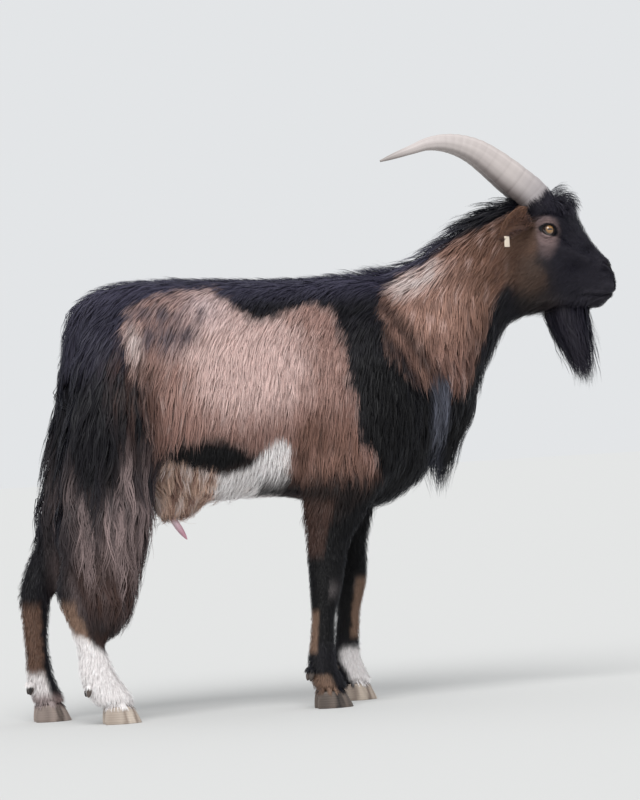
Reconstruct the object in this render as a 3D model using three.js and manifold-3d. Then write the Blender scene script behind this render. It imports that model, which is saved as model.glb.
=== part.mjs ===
// A standing long-haired male goat at life size, as a still model.
// Millimetres, +Z up. The head points to +X, the right side faces -Y, the hooves stand on z = 0.
// Each body part is a loft through a few stations, out to the tips of the coat,
// and neighbours are parted by thin cuts.
import * as THREE from 'three';
import { LoftGeometry } from 'three/addons/geometries/LoftGeometry.js';
import { mergeVertices } from 'three/addons/utils/BufferGeometryUtils.js';
import Module from 'manifold-3d';

// ---------------------------------------------------------------- driving dimensions

const CUT = 0.4; // width of the thin cuts between neighbouring parts
const SLIVER = 0.08; // detail finer than this is dropped from the finished solids
const CENTRE_X = 38.4; // the middle of the whole goat lies this far ahead of the stations' own zero

const POLL_X = 420; // ahead of this the head turns as one piece
const NECK_ROOT_X = 270; // behind this nothing turns
const HEAD_TURN = THREE.MathUtils.degToRad(9); // the head looks a little to its right

const FORE_TRACK = 88; // middle plane to the middle of a front foot
const HIND_TRACK = 104; // middle plane to the middle of a hind foot
const FORE_STRIDE = 90; // the left front foot stands this far ahead of the right one
const CORONET = 34; // height of the plane where pastern meets claw
const CLAW_LENGTH = 72;
const DEWCLAW_HEIGHT = 68;
const CLAW_SPACING = 15; // middle of a foot to the middle of either claw
const TOE_PINCH = 0.42; // how much narrower a claw is at its toe
const TOE_TURN = 3.5; // how far the toe turns towards the foot's middle

const EYE_RADIUS = 13.5;
const EYE_PLACE = new THREE.Vector3(527, 53, 937);

const COLOURS = {
  coatBlack: 0x1d1a1d,
  coatTan: 0xa98672,
  coatBrown: 0x6f4a37,
  coatWhite: 0xe8e2dc,
  horn: 0xb7aa98,
  hoof: 0x6a6055,
  eye: 0xb98a3a,
  skinPink: 0xd29a94,
  tag: 0xe6c4a8,
};

// ---------------------------------------------------------------- solids

const wasm = await Module();
wasm.setup();

/** A closed three.js geometry as a manifold solid. */
function toSolid(geometry) {
  const bare = new THREE.BufferGeometry();
  bare.setAttribute('position', geometry.getAttribute('position').clone());
  bare.setIndex(geometry.getIndex());
  const welded = mergeVertices(bare, 1e-3);
  return new wasm.Manifold(new wasm.Mesh({
    numProp: 3,
    vertProperties: Float32Array.from(welded.getAttribute('position').array),
    triVerts: Uint32Array.from(welded.getIndex().array),
  }));
}

const middleOf = (section) => section
  .reduce((sum, point) => sum.add(point), new THREE.Vector3())
  .divideScalar(section.length);

/** Moves the two end rings apart, so that a grown loft is longer as well as thicker. */
function lengthen(sections, grow) {
  for (const [end, next] of [[sections[0], sections[1]], [sections.at(-1), sections.at(-2)]]) {
    const outwards = middleOf(end).sub(middleOf(next)).setLength(grow);
    end.forEach((point) => point.add(outwards));
  }
  return sections;
}

/** The closed solid through a row of rings, each turned so that the walls face outwards. */
function loft(sections) {
  const [first, second] = sections;
  const centre = middleOf(first);
  const winding = new THREE.Vector3();
  first.forEach((point, i) => {
    const next = first[(i + 1) % first.length];
    winding.add(point.clone().sub(centre).cross(next.clone().sub(centre)));
  });
  if (winding.dot(middleOf(second).sub(centre)) < 0) sections.forEach((section) => section.reverse());
  return toSolid(new LoftGeometry(sections, { capStart: true, capEnd: true }));
}

/** Smooth value between the stations: one curve through the same entry of every station. */
function throughStations(stations, pick) {
  return new THREE.CatmullRomCurve3(stations.map(pick), false, 'catmullrom', 0.5);
}

/**
 * One closed ring in the plane of the Y axis and the line from a to b.
 * a and b are its two ends, size.x its half width, size.y the place of its middle along Y.
 * size.z squares it off: 1 is an ellipse, more is fuller. lean > 0 narrows the a side.
 */
function ring(a, b, size, points, lean, grow) {
  const middle = a.clone().add(b).multiplyScalar(0.5);
  const reach = a.clone().sub(b).multiplyScalar(0.5);
  const longer = 1 + grow / Math.max(reach.length(), 1);
  const power = 1 / size.z;
  const out = [];
  for (let i = 0; i < points; i++) {
    const angle = (2 * Math.PI * i) / points;
    const across = Math.sign(Math.cos(angle)) * Math.abs(Math.cos(angle)) ** power;
    const along = Math.sign(Math.sin(angle)) * Math.abs(Math.sin(angle)) ** power;
    const point = middle.clone().addScaledVector(reach, along * longer);
    point.y = size.y + across * (size.x + grow) * (1 - lean * along);
    out.push(point);
  }
  return out;
}

/**
 * A body part lofted through stations { a: [x, z], b: [x, z], w, y, full, steps }.
 * w is the half width, y the middle's place along Y, full the squareness,
 * steps how many rings there are from this station to the next.
 */
function bodyPart(stations, { points = 14, lean = 0, grow = 0 } = {}) {
  const aLine = throughStations(stations, (s) => new THREE.Vector3(s.a[0], 0, s.a[1]));
  const bLine = throughStations(stations, (s) => new THREE.Vector3(s.b[0], 0, s.b[1]));
  const sizes = throughStations(stations, (s) => new THREE.Vector3(s.w, s.y ?? 0, s.full ?? 1));
  const spans = stations.length - 1;
  const places = [];
  for (let i = 0; i < spans; i++) {
    const steps = stations[i].steps ?? 1;
    for (let step = 0; step < steps; step++) places.push((i + step / steps) / spans);
  }
  const sections = [...places, 1]
    .map((t) => ring(aLine.getPoint(t), bLine.getPoint(t), sizes.getPoint(t), points, lean, grow));
  return loft(lengthen(sections, grow));
}

/** The same stations with more rings between them, where a form needs to be rounder. */
function finer(stations, steps) {
  return stations.map((s) => ({ ...s, steps }));
}

/** A round or oval tube along a curve, its half widths given as [t, high, wide] rows. */
function taperedTube(curve, rows, { rings = 16, points = 12, grow = 0 } = {}) {
  const radii = throughStations(rows, (r) => new THREE.Vector3(r[0], r[1], r[2]));
  const sections = [];
  for (let i = 0; i <= rings; i++) {
    const t = i / rings;
    const size = radii.getPoint(t);
    const centre = curve.getPoint(t);
    const ahead = curve.getTangent(t);
    const wide = new THREE.Vector3(0, 1, 0).addScaledVector(ahead, -ahead.y).normalize();
    const high = new THREE.Vector3().crossVectors(ahead, wide);
    const section = [];
    for (let j = 0; j < points; j++) {
      const angle = (2 * Math.PI * j) / points;
      section.push(centre.clone()
        .addScaledVector(high, (size.y + grow) * Math.sin(angle))
        .addScaledVector(wide, (size.z + grow) * Math.cos(angle)));
    }
    sections.push(section);
  }
  return loft(lengthen(sections, grow));
}

function ball(centre, radii, detail = 16) {
  const geometry = new THREE.SphereGeometry(1, detail, Math.ceil(detail * 0.6));
  geometry.scale(radii.x, radii.y, radii.z);
  geometry.translate(centre.x, centre.y, centre.z);
  return toSolid(geometry);
}

/** The same solid on the other side of the middle plane. */
function mirrored(solid) {
  return solid.mirror([0, 1, 0]);
}

/** Where a point of the straight goat comes to lie when neck and head turn to the right. */
function turnedPoint(point, rigid = false) {
  const span = POLL_X - NECK_ROOT_X;
  const s = rigid ? span : THREE.MathUtils.clamp(point.x - NECK_ROOT_X, 0, span);
  const angle = (HEAD_TURN * s) / span;
  const radius = span / HEAD_TURN;
  const past = point.x - NECK_ROOT_X - s;
  return new THREE.Vector3(
    NECK_ROOT_X + radius * Math.sin(angle) + past * Math.cos(angle) + point.y * Math.sin(angle),
    -radius * (1 - Math.cos(angle)) - past * Math.sin(angle) + point.y * Math.cos(angle),
    point.z,
  );
}

/** The neck bends along its length; rigid parts, such as the horns, turn with the head. */
function turned(solid, rigid = false) {
  return solid.warp((vertex) => {
    turnedPoint(new THREE.Vector3().fromArray(vertex), rigid).toArray(vertex);
  });
}

/** What lies ahead of or behind the plane through p, q and the Y direction, less half a cut. */
function beyondPlane(solid, p, q, keepAhead) {
  const [start, end, across] = [[p[0], 0, p[1]], [q[0], 0, q[1]], [p[0], 10, p[1]]]
    .map((corner) => turnedPoint(new THREE.Vector3(...corner)));
  const normal = end.clone().sub(start).cross(across.clone().sub(start)).normalize();
  if ((normal.x > 0) !== keepAhead) normal.negate();
  return solid.trimByPlane(normal.toArray(), normal.dot(start) + CUT / 2);
}

// ---------------------------------------------------------------- head, neck and trunk

// a runs over the face, crest and back; b runs under the chin, throat and belly.
const HEAD = [
  { a: [670, 827], b: [664, 804], w: 13, full: 1.1 },
  { a: [665, 849], b: [651, 789], w: 27, full: 1.15 },
  { a: [656, 872], b: [634, 778], w: 33, full: 1.15 },
  { a: [641, 891], b: [612, 773], w: 34, full: 1.1 },
  { a: [624, 919], b: [586, 772], w: 38, full: 1.05 },
  { a: [608, 948], b: [558, 772], w: 46, full: 1.05 },
  { a: [597, 974], b: [531, 772], w: 55, full: 1.1 },
  { a: [592, 1003], b: [505, 770], w: 60, full: 1.1 },
  { a: [574, 1026], b: [480, 765], w: 61, full: 1.05 },
  { a: [544, 1034], b: [456, 752], w: 61 },
  { a: [511, 1029], b: [436, 732], w: 64 },
  { a: [478, 1017], b: [420, 705], w: 69 },
];
const NECK = [
  HEAD.at(-1),
  { a: [440, 1007], b: [400, 668], w: 75 },
  { a: [396, 992], b: [384, 634], w: 83 },
  { a: [352, 967], b: [366, 600], w: 93 },
  { a: [306, 934], b: [338, 562], w: 104 },
  { a: [262, 902], b: [302, 522], w: 114 },
  { a: [215, 877], b: [264, 480], w: 122 },
];
const TRUNK = [
  NECK.at(-1),
  { a: [160, 873], b: [226, 430], w: 128 },
  { a: [100, 878], b: [160, 393], w: 135, full: 1.05 },
  { a: [30, 873], b: [60, 400], w: 146, full: 1.08 },
  { a: [-60, 873], b: [-40, 425], w: 156, full: 1.1 },
  { a: [-160, 878], b: [-150, 427], w: 160, full: 1.1 },
  { a: [-250, 883], b: [-245, 428], w: 152, full: 1.08 },
  { a: [-330, 884], b: [-330, 455], w: 137, full: 1.05 },
  { a: [-392, 877], b: [-398, 520], w: 118 },
  { a: [-434, 856], b: [-432, 600], w: 92 },
  { a: [-455, 822], b: [-452, 690], w: 62 },
  { a: [-463, 785], b: [-460, 735], w: 28 },
];
const HEAD_CUT = [HEAD.at(-1).a, HEAD.at(-1).b];
const NECK_CUT = [NECK.at(-1).a, NECK.at(-1).b];

const SPINE = [...finer(HEAD, 2), ...NECK.slice(1), ...TRUNK.slice(1)];
const spine = (grow) => turned(bodyPart(SPINE, { points: 22, lean: 0.12, grow }));

// Rounded forms that stand out from each side of the head.
const FACE_FORMS = {
  brow: { centre: [533, 45, 944], radii: [34, 22, 27] },
  cheek: { centre: [500, 38, 850], radii: [46, 30, 62] },
  nostrilWing: { centre: [643, 20, 862], radii: [17, 13, 17] },
};

/** Head, neck and trunk in one piece. */
function wholeBody(grow) {
  let body = spine(grow);
  for (const form of Object.values(FACE_FORMS)) {
    const radii = new THREE.Vector3(...form.radii).addScalar(grow);
    const bulge = ball(new THREE.Vector3(...form.centre), radii, 10);
    body = body.add(turned(bulge)).add(turned(mirrored(bulge)));
  }
  return body;
}

const body = wholeBody(0);
const bodyGrown = wholeBody(CUT);
let head = beyondPlane(body, ...HEAD_CUT, true);
let neck = beyondPlane(beyondPlane(body, ...NECK_CUT, true), ...HEAD_CUT, false);
let trunk = beyondPlane(body, ...NECK_CUT, false);

// ---------------------------------------------------------------- horns, eyes, ears, beard

const HORN_LINE = new THREE.CatmullRomCurve3([
  new THREE.Vector3(521, 24, 975),
  new THREE.Vector3(499, 28, 1012),
  new THREE.Vector3(442, 38, 1071),
  new THREE.Vector3(368, 52, 1112),
  new THREE.Vector3(292, 68, 1126),
  new THREE.Vector3(230, 80, 1111),
  new THREE.Vector3(188, 87, 1091),
]);
// place along the horn, half height, half thickness
const HORN_GIRTH = [
  [0, 31, 19], [0.17, 33, 20], [0.33, 31, 19], [0.5, 24, 15], [0.67, 16, 11], [0.83, 9.5, 7], [1, 2.5, 2],
];
const horn = (grow) => taperedTube(HORN_LINE, HORN_GIRTH, { rings: 11, points: 10, grow });

const eye = (grow) => ball(EYE_PLACE, new THREE.Vector3(1, 1, 1).multiplyScalar(EYE_RADIUS + grow), 10);

// An ear is a leaf that points back, down and out from behind the horn.
const EAR_LINE = new THREE.CatmullRomCurve3([
  new THREE.Vector3(490, 58, 968),
  new THREE.Vector3(468, 84, 962),
  new THREE.Vector3(443, 113, 945),
  new THREE.Vector3(420, 136, 920),
]);
const EAR_GIRTH = [[0, 13, 11], [0.33, 22, 8], [0.67, 20, 6], [0.9, 11, 4.5], [1, 3, 3]];
const ear = (grow) => taperedTube(EAR_LINE, EAR_GIRTH, { rings: 6, points: 8, grow });

const TAG = { x: 434, y: 124, z: 915, width: 14, height: 22, thickness: 3 };
/** A small plain tag that hangs from the lower edge of the right ear. */
function earTag(grow) {
  const box = new THREE.BoxGeometry(TAG.width + grow, TAG.thickness + grow, TAG.height + grow);
  box.rotateZ(THREE.MathUtils.degToRad(-42));
  box.translate(TAG.x, TAG.y, TAG.z);
  return turned(mirrored(toSolid(box)), true);
}

const BEARD = [
  { a: [620, 796], b: [518, 796], w: 20 },
  { a: [618, 768], b: [520, 764], w: 24 },
  { a: [619, 732], b: [539, 722], w: 24 },
  { a: [619, 692], b: [556, 682], w: 21 },
  { a: [613, 652], b: [575, 645], w: 15 },
  { a: [603, 624], b: [589, 622], w: 6 },
];
const MANE = [
  { a: [392, 640], b: [300, 640], w: 52 },
  { a: [378, 585], b: [282, 585], w: 56 },
  { a: [366, 530], b: [262, 530], w: 54 },
  { a: [354, 480], b: [256, 480], w: 44 },
  { a: [334, 442], b: [266, 444], w: 26 },
  { a: [316, 424], b: [288, 424], w: 9 },
];

// ---------------------------------------------------------------- legs

// The right foreleg from shoulder to pastern; a is its front, b its back.
const FORELEG = [
  { a: [172, 838], b: [110, 842], w: 12, y: 56 },
  { a: [200, 770], b: [62, 774], w: 32, y: 88 },
  { a: [232, 690], b: [18, 694], w: 42, y: 104 },
  { a: [242, 604], b: [-18, 600], w: 46, y: 108 },
  { a: [212, 520], b: [-40, 500], w: 44, y: 107 },
  { a: [148, 442], b: [-38, 428], w: 39, y: 100 },
  { a: [92, 376], b: [-30, 366], w: 33, y: 93 },
  { a: [60, 312], b: [-27, 306], w: 29, y: 89, full: 1.05 },
  { a: [47, 245], b: [-25, 243], w: 28, y: 87, full: 1.1 },
  { a: [30, 185], b: [-25, 182], w: 22, y: FORE_TRACK },
  { a: [25, 130], b: [-33, 128], w: 22, y: FORE_TRACK },
  { a: [24, 86], b: [-40, 80], w: 27, y: FORE_TRACK, full: 1.1 },
  { a: [40, 50], b: [-28, 44], w: 28, y: FORE_TRACK, full: 1.1 },
  { a: [54, 24], b: [-16, 20], w: 28, y: FORE_TRACK, full: 1.1 },
];
const KNEE_CUT = 285; // height where the forearm meets the lower foreleg

// The thigh with its skirt of long locks.
const THIGH = [
  { a: [-352, 836], b: [-412, 836], w: 12, y: 54 },
  { a: [-312, 782], b: [-448, 784], w: 42, y: 82 },
  { a: [-292, 722], b: [-480, 726], w: 58, y: 95 },
  { a: [-290, 640], b: [-504, 645], w: 66, y: 103 },
  { a: [-303, 560], b: [-522, 562], w: 67, y: 108 },
  { a: [-313, 480], b: [-533, 480], w: 63, y: 110 },
  { a: [-327, 400], b: [-534, 400], w: 58, y: 112 },
  { a: [-352, 320], b: [-523, 320], w: 52, y: 112 },
  { a: [-380, 245], b: [-500, 245], w: 43, y: 111 },
  { a: [-402, 195], b: [-482, 192], w: 31, y: 109 },
  { a: [-422, 168], b: [-460, 166], w: 13, y: 107 },
];
const SKIRT_FOOT = 168; // height of the right skirt's tips
const LEFT_SKIRT_FOOT = 225;
const LEFT_SKIRT_BACK = 34; // how far further back the left skirt hangs

const RIGHT_HOCK = [
  { a: [-425, 362], b: [-505, 372], w: 27, y: 108 },
  { a: [-446, 318], b: [-533, 312], w: 25, y: 106 },
  { a: [-462, 272], b: [-542, 258], w: 24, y: HIND_TRACK },
  { a: [-455, 210], b: [-519, 200], w: 21, y: HIND_TRACK },
  { a: [-443, 152], b: [-503, 145], w: 23, y: HIND_TRACK },
  { a: [-426, 104], b: [-503, 94], w: 29, y: HIND_TRACK, full: 1.1 },
  { a: [-405, 68], b: [-488, 58], w: 30, y: HIND_TRACK, full: 1.1 },
  { a: [-386, 34], b: [-462, 26], w: 29, y: HIND_TRACK, full: 1.1 },
  { a: [-380, 22], b: [-456, 18], w: 29, y: HIND_TRACK, full: 1.1 },
];
const LEFT_HOCK = [
  { a: [-462, 372], b: [-538, 378], w: 27, y: 108 },
  { a: [-486, 328], b: [-570, 318], w: 25, y: 106 },
  { a: [-507, 282], b: [-590, 264], w: 24, y: HIND_TRACK },
  { a: [-522, 212], b: [-583, 204], w: 20, y: HIND_TRACK },
  { a: [-526, 152], b: [-581, 146], w: 21, y: HIND_TRACK },
  { a: [-521, 98], b: [-580, 88], w: 27, y: HIND_TRACK, full: 1.1 },
  { a: [-508, 62], b: [-572, 52], w: 28, y: HIND_TRACK, full: 1.1 },
  { a: [-494, 34], b: [-566, 26], w: 28, y: HIND_TRACK, full: 1.1 },
  { a: [-490, 22], b: [-562, 18], w: 28, y: HIND_TRACK, full: 1.1 },
];

/** How far forward a point of the striding left foreleg moves at height z; its top stays put. */
function stride(z) {
  const top = 640;
  return FORE_STRIDE * THREE.MathUtils.smoothstep(top - z, 0, 400);
}

/** The left skirt is shorter and hangs further back, over the rearward left leg. */
function leftThigh(stations) {
  const top = stations[4].a[1];
  const shrink = (top - LEFT_SKIRT_FOOT) / (top - SKIRT_FOOT);
  return stations.map((s) => {
    const height = (z) => (z > top ? z : top - (top - z) * shrink);
    const back = LEFT_SKIRT_BACK * THREE.MathUtils.smoothstep(top - s.a[1], 0, 300);
    return {
      ...s,
      a: [s.a[0] - back, height(s.a[1])],
      b: [s.b[0] - back * 0.5, height(s.b[1])],
    };
  });
}

function strideStations(stations) {
  return stations.map((s) => ({
    ...s,
    a: [s.a[0] + stride(s.a[1]), s.a[1]],
    b: [s.b[0] + stride(s.b[1]), s.b[1]],
  }));
}

// height, how far the heel moves forward and the toe back, half width
const CLAW_LEVELS = [
  [0, 0, 0, 12.5],
  [4, -1, 0, 13.5],
  [20, 0, 9, 13.5],
  [CORONET - CUT, 3, 17, 13],
];
const CLAW_POINTS = 12;

/** One claw: a flat sole at z = 0, an upright heel and a sloping toe that points inwards. */
function claw(heelX, toeX, y, side) {
  return loft(CLAW_LEVELS.map(([z, heelIn, toeIn, half]) => {
    const back = heelX + heelIn;
    const front = toeX - toeIn;
    const section = [];
    for (let i = 0; i < CLAW_POINTS; i++) {
      const angle = (2 * Math.PI * i) / CLAW_POINTS;
      const ahead = Math.max(0, Math.cos(angle));
      const x = (back + front) / 2 + ((front - back) / 2) * Math.cos(angle);
      const pinched = half * (1 - TOE_PINCH * ahead ** 2) * Math.sin(angle);
      section.push(new THREE.Vector3(x, y - side * TOE_TURN * ahead + pinched, z));
    }
    return section;
  }));
}

/** A small blunt claw behind the fetlock, pointing down and back. */
function dewclaw(x, y, grow) {
  const top = new THREE.Vector3(x + 9, y, DEWCLAW_HEIGHT + 12);
  const tip = new THREE.Vector3(x - 5, y, DEWCLAW_HEIGHT - 14);
  const line = new THREE.LineCurve3(top, tip);
  const girth = [[0, 7, 7], [0.4, 8.5, 8.5], [0.8, 7, 7], [1, 3, 3]];
  return taperedTube(line, girth, { rings: 2, points: 8, grow });
}

// ---------------------------------------------------------------- tail, sheath and scrotum

const TAIL = [
  { a: [-458, 846], b: [-432, 822], w: 20 },
  { a: [-473, 798], b: [-444, 792], w: 29 },
  { a: [-482, 745], b: [-456, 744], w: 31 },
  { a: [-490, 692], b: [-468, 692], w: 26 },
  { a: [-498, 646], b: [-486, 648], w: 10 },
];
const SHEATH = [
  { a: [-190, 470], b: [-332, 480], w: 38 },
  { a: [-196, 430], b: [-324, 434], w: 38 },
  { a: [-218, 408], b: [-316, 408], w: 30 },
  { a: [-240, 395], b: [-304, 395], w: 16 },
];
const SCROTUM = [
  { a: [-380, 600], b: [-445, 600], w: 26 },
  { a: [-376, 520], b: [-452, 520], w: 34 },
  { a: [-372, 440], b: [-462, 440], w: 44 },
  { a: [-378, 385], b: [-458, 385], w: 42 },
  { a: [-402, 352], b: [-438, 352], w: 20 },
];
const tail = (grow) => bodyPart(finer(TAIL, 2), { points: 10, grow });

/** The short bare tip that shows below the hairy sheath. */
function sheathTip(grow) {
  const line = new THREE.LineCurve3(new THREE.Vector3(-284, 0, 402), new THREE.Vector3(-250, 0, 350));
  return taperedTube(line, [[0, 8, 8], [0.5, 7, 7], [1, 4, 4]], { rings: 3, points: 8, grow });
}

// ---------------------------------------------------------------- assembling

const nodes = [];

/** Names a finished solid and gives it its colour. */
function addNode(name, solid, colour) {
  const mesh = solid.translate(-CENTRE_X, 0, 0).simplify(SLIVER).getMesh();
  const geometry = new THREE.BufferGeometry();
  geometry.setAttribute('position', new THREE.BufferAttribute(mesh.vertProperties, mesh.numProp));
  geometry.setIndex(new THREE.BufferAttribute(mesh.triVerts, 1));
  geometry.computeVertexNormals();
  const node = new THREE.Mesh(geometry, new THREE.MeshStandardMaterial({ color: colour, roughness: 0.9 }));
  node.name = name;
  nodes.push(node);
}

/** A solid less each of the cutters. */
function without(solid, cutters) {
  return cutters.reduce((rest, cutter) => rest.subtract(cutter), solid);
}

// Horns, eyes and ears stay whole, and the head and neck give way to them.
for (const side of ['left', 'right']) {
  const put = side === 'left' ? (solid) => turned(solid, true) : (solid) => turned(mirrored(solid), true);
  addNode(`horn_${side}`, put(horn(0)), COLOURS.horn);
  addNode(`eye_${side}`, put(eye(0)), COLOURS.eye);
  const wholeEar = put(ear(0));
  addNode(`ear_${side}`, side === 'left' ? wholeEar : wholeEar.subtract(earTag(2 * CUT)), COLOURS.coatBrown);
  const cutters = [horn(CUT), eye(CUT), ear(CUT)].map(put);
  head = without(head, cutters);
  neck = without(neck, cutters);
}
addNode('ear_tag', earTag(0), COLOURS.tag);
addNode('beard', turned(bodyPart(BEARD, { points: 12 })).subtract(bodyGrown), COLOURS.coatBlack);
addNode('chest_mane', turned(bodyPart(MANE, { points: 12 })).subtract(bodyGrown), COLOURS.coatBlack);

addNode('tail', tail(0), COLOURS.coatBlack);
addNode('sheath_tip', sheathTip(0), COLOURS.skinPink);
addNode('sheath', without(bodyPart(SHEATH), [bodyGrown, sheathTip(CUT)]), COLOURS.coatTan);
trunk = trunk.subtract(tail(CUT));

// The two sides differ only in how the legs stand.
const SIDES = [
  {
    side: 'right', put: mirrored, foreleg: FORELEG, thigh: THIGH, hock: RIGHT_HOCK,
    foreHeel: -22, hindHeel: -455, foreSpur: -36, hindSpur: -488,
  },
  {
    side: 'left', put: (solid) => solid, foreleg: strideStations(FORELEG), thigh: leftThigh(THIGH),
    hock: LEFT_HOCK, foreHeel: -22 + FORE_STRIDE, hindHeel: -564, foreSpur: -36 + FORE_STRIDE, hindSpur: -575,
  },
];

/** Claws and dewclaws of one foot; returns what the pastern gives way to. */
function addFoot(name, put, heel, track, spurX) {
  return [['outer', 1], ['inner', -1]].map(([which, dir]) => {
    const y = track + dir * CLAW_SPACING;
    addNode(`${name}_claw_${which}`, put(claw(heel, heel + CLAW_LENGTH, y, dir)), COLOURS.hoof);
    addNode(`${name}_dewclaw_${which}`, put(dewclaw(spurX, y, 0)), COLOURS.hoof);
    return put(dewclaw(spurX, y, CUT));
  });
}

const thighsGrown = [];
for (const { side, put, foreleg, thigh, hock, foreHeel, hindHeel, foreSpur, hindSpur } of SIDES) {
  const leg = (stations, grow = 0) => put(bodyPart(stations, { points: 16, grow }));

  const foreCutters = addFoot(`fore_${side}`, put, foreHeel, FORE_TRACK, foreSpur);
  const wholeForeleg = leg(foreleg);
  const upper = wholeForeleg.trimByPlane([0, 0, 1], KNEE_CUT + CUT / 2);
  const lower = wholeForeleg.trimByPlane([0, 0, -1], -KNEE_CUT + CUT / 2).trimByPlane([0, 0, 1], CORONET);
  addNode(`foreleg_upper_${side}`, upper, COLOURS.coatBlack);
  addNode(`foreleg_lower_${side}`, without(lower, foreCutters), COLOURS.coatBlack);
  const forelegGrown = leg(foreleg, CUT);
  trunk = trunk.subtract(forelegGrown);
  neck = neck.subtract(forelegGrown);

  const hindCutters = addFoot(`hind_${side}`, put, hindHeel, HIND_TRACK, hindSpur);
  const shank = leg(hock).trimByPlane([0, 0, 1], CORONET);
  addNode(`hindleg_lower_${side}`, without(shank, hindCutters), COLOURS.coatWhite);
  addNode(`thigh_${side}`, leg(thigh).subtract(leg(hock, CUT)), COLOURS.coatBlack);
  thighsGrown.push(leg(thigh, CUT));
}
trunk = without(trunk, thighsGrown);
const scrotum = without(bodyPart(finer(SCROTUM, 2)), [bodyGrown, ...thighsGrown]);
addNode('scrotum', scrotum, COLOURS.coatBlack);
addNode('head', head, COLOURS.coatBlack);
addNode('neck', neck, COLOURS.coatBrown);
addNode('trunk', trunk, COLOURS.coatTan);

const goat = new THREE.Group();
goat.name = 'goat';
goat.add(...nodes);
export default goat;
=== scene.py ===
# %% [markdown]
# # A standing long-haired buck
#
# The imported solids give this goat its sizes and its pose. This notebook dresses them: one skin
# without seams, a finely shaped head, eyes, horns and claws, and a coat of many thin tufts that
# lie as the hair of a goat lies. Lengths are metres, unless a name or a comment says millimetres.
# The head points to +X, the right side faces -Y, and the claws stand on z = 0.

# %% Load the goat's solids
import math
import bmesh
import bpy
import numpy as np
from mathutils import Matrix, Vector
from mathutils.bvhtree import BVHTree


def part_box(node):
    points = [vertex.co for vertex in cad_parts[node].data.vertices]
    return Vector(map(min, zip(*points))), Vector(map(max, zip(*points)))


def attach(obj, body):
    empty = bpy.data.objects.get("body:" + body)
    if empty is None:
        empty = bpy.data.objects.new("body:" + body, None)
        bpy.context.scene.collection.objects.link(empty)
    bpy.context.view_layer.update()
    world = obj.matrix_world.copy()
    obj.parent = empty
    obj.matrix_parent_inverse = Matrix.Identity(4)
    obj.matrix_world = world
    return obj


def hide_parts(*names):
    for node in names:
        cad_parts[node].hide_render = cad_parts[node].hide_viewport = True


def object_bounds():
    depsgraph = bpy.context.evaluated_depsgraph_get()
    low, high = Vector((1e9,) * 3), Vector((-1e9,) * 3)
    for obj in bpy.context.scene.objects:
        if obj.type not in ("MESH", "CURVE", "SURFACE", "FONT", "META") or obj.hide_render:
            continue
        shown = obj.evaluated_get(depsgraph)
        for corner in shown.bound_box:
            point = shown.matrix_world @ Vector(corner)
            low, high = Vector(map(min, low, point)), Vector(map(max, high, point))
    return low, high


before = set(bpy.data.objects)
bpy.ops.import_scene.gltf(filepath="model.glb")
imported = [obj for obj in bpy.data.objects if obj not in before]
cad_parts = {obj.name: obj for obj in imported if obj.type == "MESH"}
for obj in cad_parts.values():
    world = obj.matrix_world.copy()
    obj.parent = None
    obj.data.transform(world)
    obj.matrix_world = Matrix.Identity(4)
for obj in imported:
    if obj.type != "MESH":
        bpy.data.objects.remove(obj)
cad_low, cad_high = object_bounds()
goat_size = cad_high - cad_low
SIDES = {"left": 1, "right": -1}
MM = 0.001
print("The goat measures", [round(v, 3) for v in goat_size])

# %% [markdown]
# ## Camera, floor and light
#
# The goat is seen from its right side and a little from behind, from far away with a long lens,
# so the picture is nearly free of perspective. The camera is held slightly askew. The floor is
# wide and pale, and the sky has the floor's brightness, so no line shows where they meet.

# %% Camera
VIEW_AZIMUTH = math.radians(12.3)
VIEW_RISE = math.radians(0.79)
VIEW_ROLL = math.radians(-3.3)
VIEW_DISTANCE = 7.5
LENS = 207.8
middle = (cad_low + cad_high) / 2
aim = Vector((middle.x - 0.001, middle.y - 0.008, cad_low.z + 0.541 * goat_size.z))
forward = Vector((
    math.sin(VIEW_AZIMUTH) * math.cos(VIEW_RISE),
    math.cos(VIEW_AZIMUTH) * math.cos(VIEW_RISE),
    math.sin(VIEW_RISE),
))
lens_data = bpy.data.cameras.new("camera")
lens_data.sensor_fit = "HORIZONTAL"
lens_data.sensor_width = 36
lens_data.lens = LENS
lens_data.clip_end = 200
camera = bpy.data.objects.new("camera", lens_data)
bpy.context.scene.collection.objects.link(camera)
camera.location = aim - forward * VIEW_DISTANCE
turn = forward.to_track_quat("-Z", "Y").to_matrix().to_4x4()
roll = turn @ Matrix.Rotation(VIEW_ROLL, 4, "Z")
camera.rotation_euler = roll.to_euler()
bpy.context.scene.camera = camera
print("The camera stands at", [round(v, 2) for v in camera.location])

# %% Floor and light
FLOOR_PALENESS = 0.6
SKY_STRENGTH = 0.8
SUN_STRENGTH = 2.2


def link(thing):
    bpy.context.scene.collection.objects.link(thing)
    return thing


def new_material(name, roughness, specular):
    """A new material with these two values, and its shader."""
    paint = bpy.data.materials.new(name)
    paint.use_nodes = True
    shader = paint.node_tree.nodes["Principled BSDF"]
    shader.inputs["Roughness"].default_value = roughness
    shader.inputs["Specular IOR Level"].default_value = specular
    return paint, shader


def plain_floor():
    """A wide flat floor at z = 0."""
    shape = bmesh.new()
    bmesh.ops.create_grid(shape, x_segments=1, y_segments=1, size=90)
    mesh = bpy.data.meshes.new("floor")
    shape.to_mesh(mesh)
    shape.free()
    floor = link(bpy.data.objects.new("floor", mesh))
    paint, shader = new_material("pale_floor", 0.95, 0.0)
    shader.inputs["Base Color"].default_value = (FLOOR_PALENESS, FLOOR_PALENESS, FLOOR_PALENESS * 0.985, 1)
    mesh.materials.append(paint)
    return floor


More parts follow.
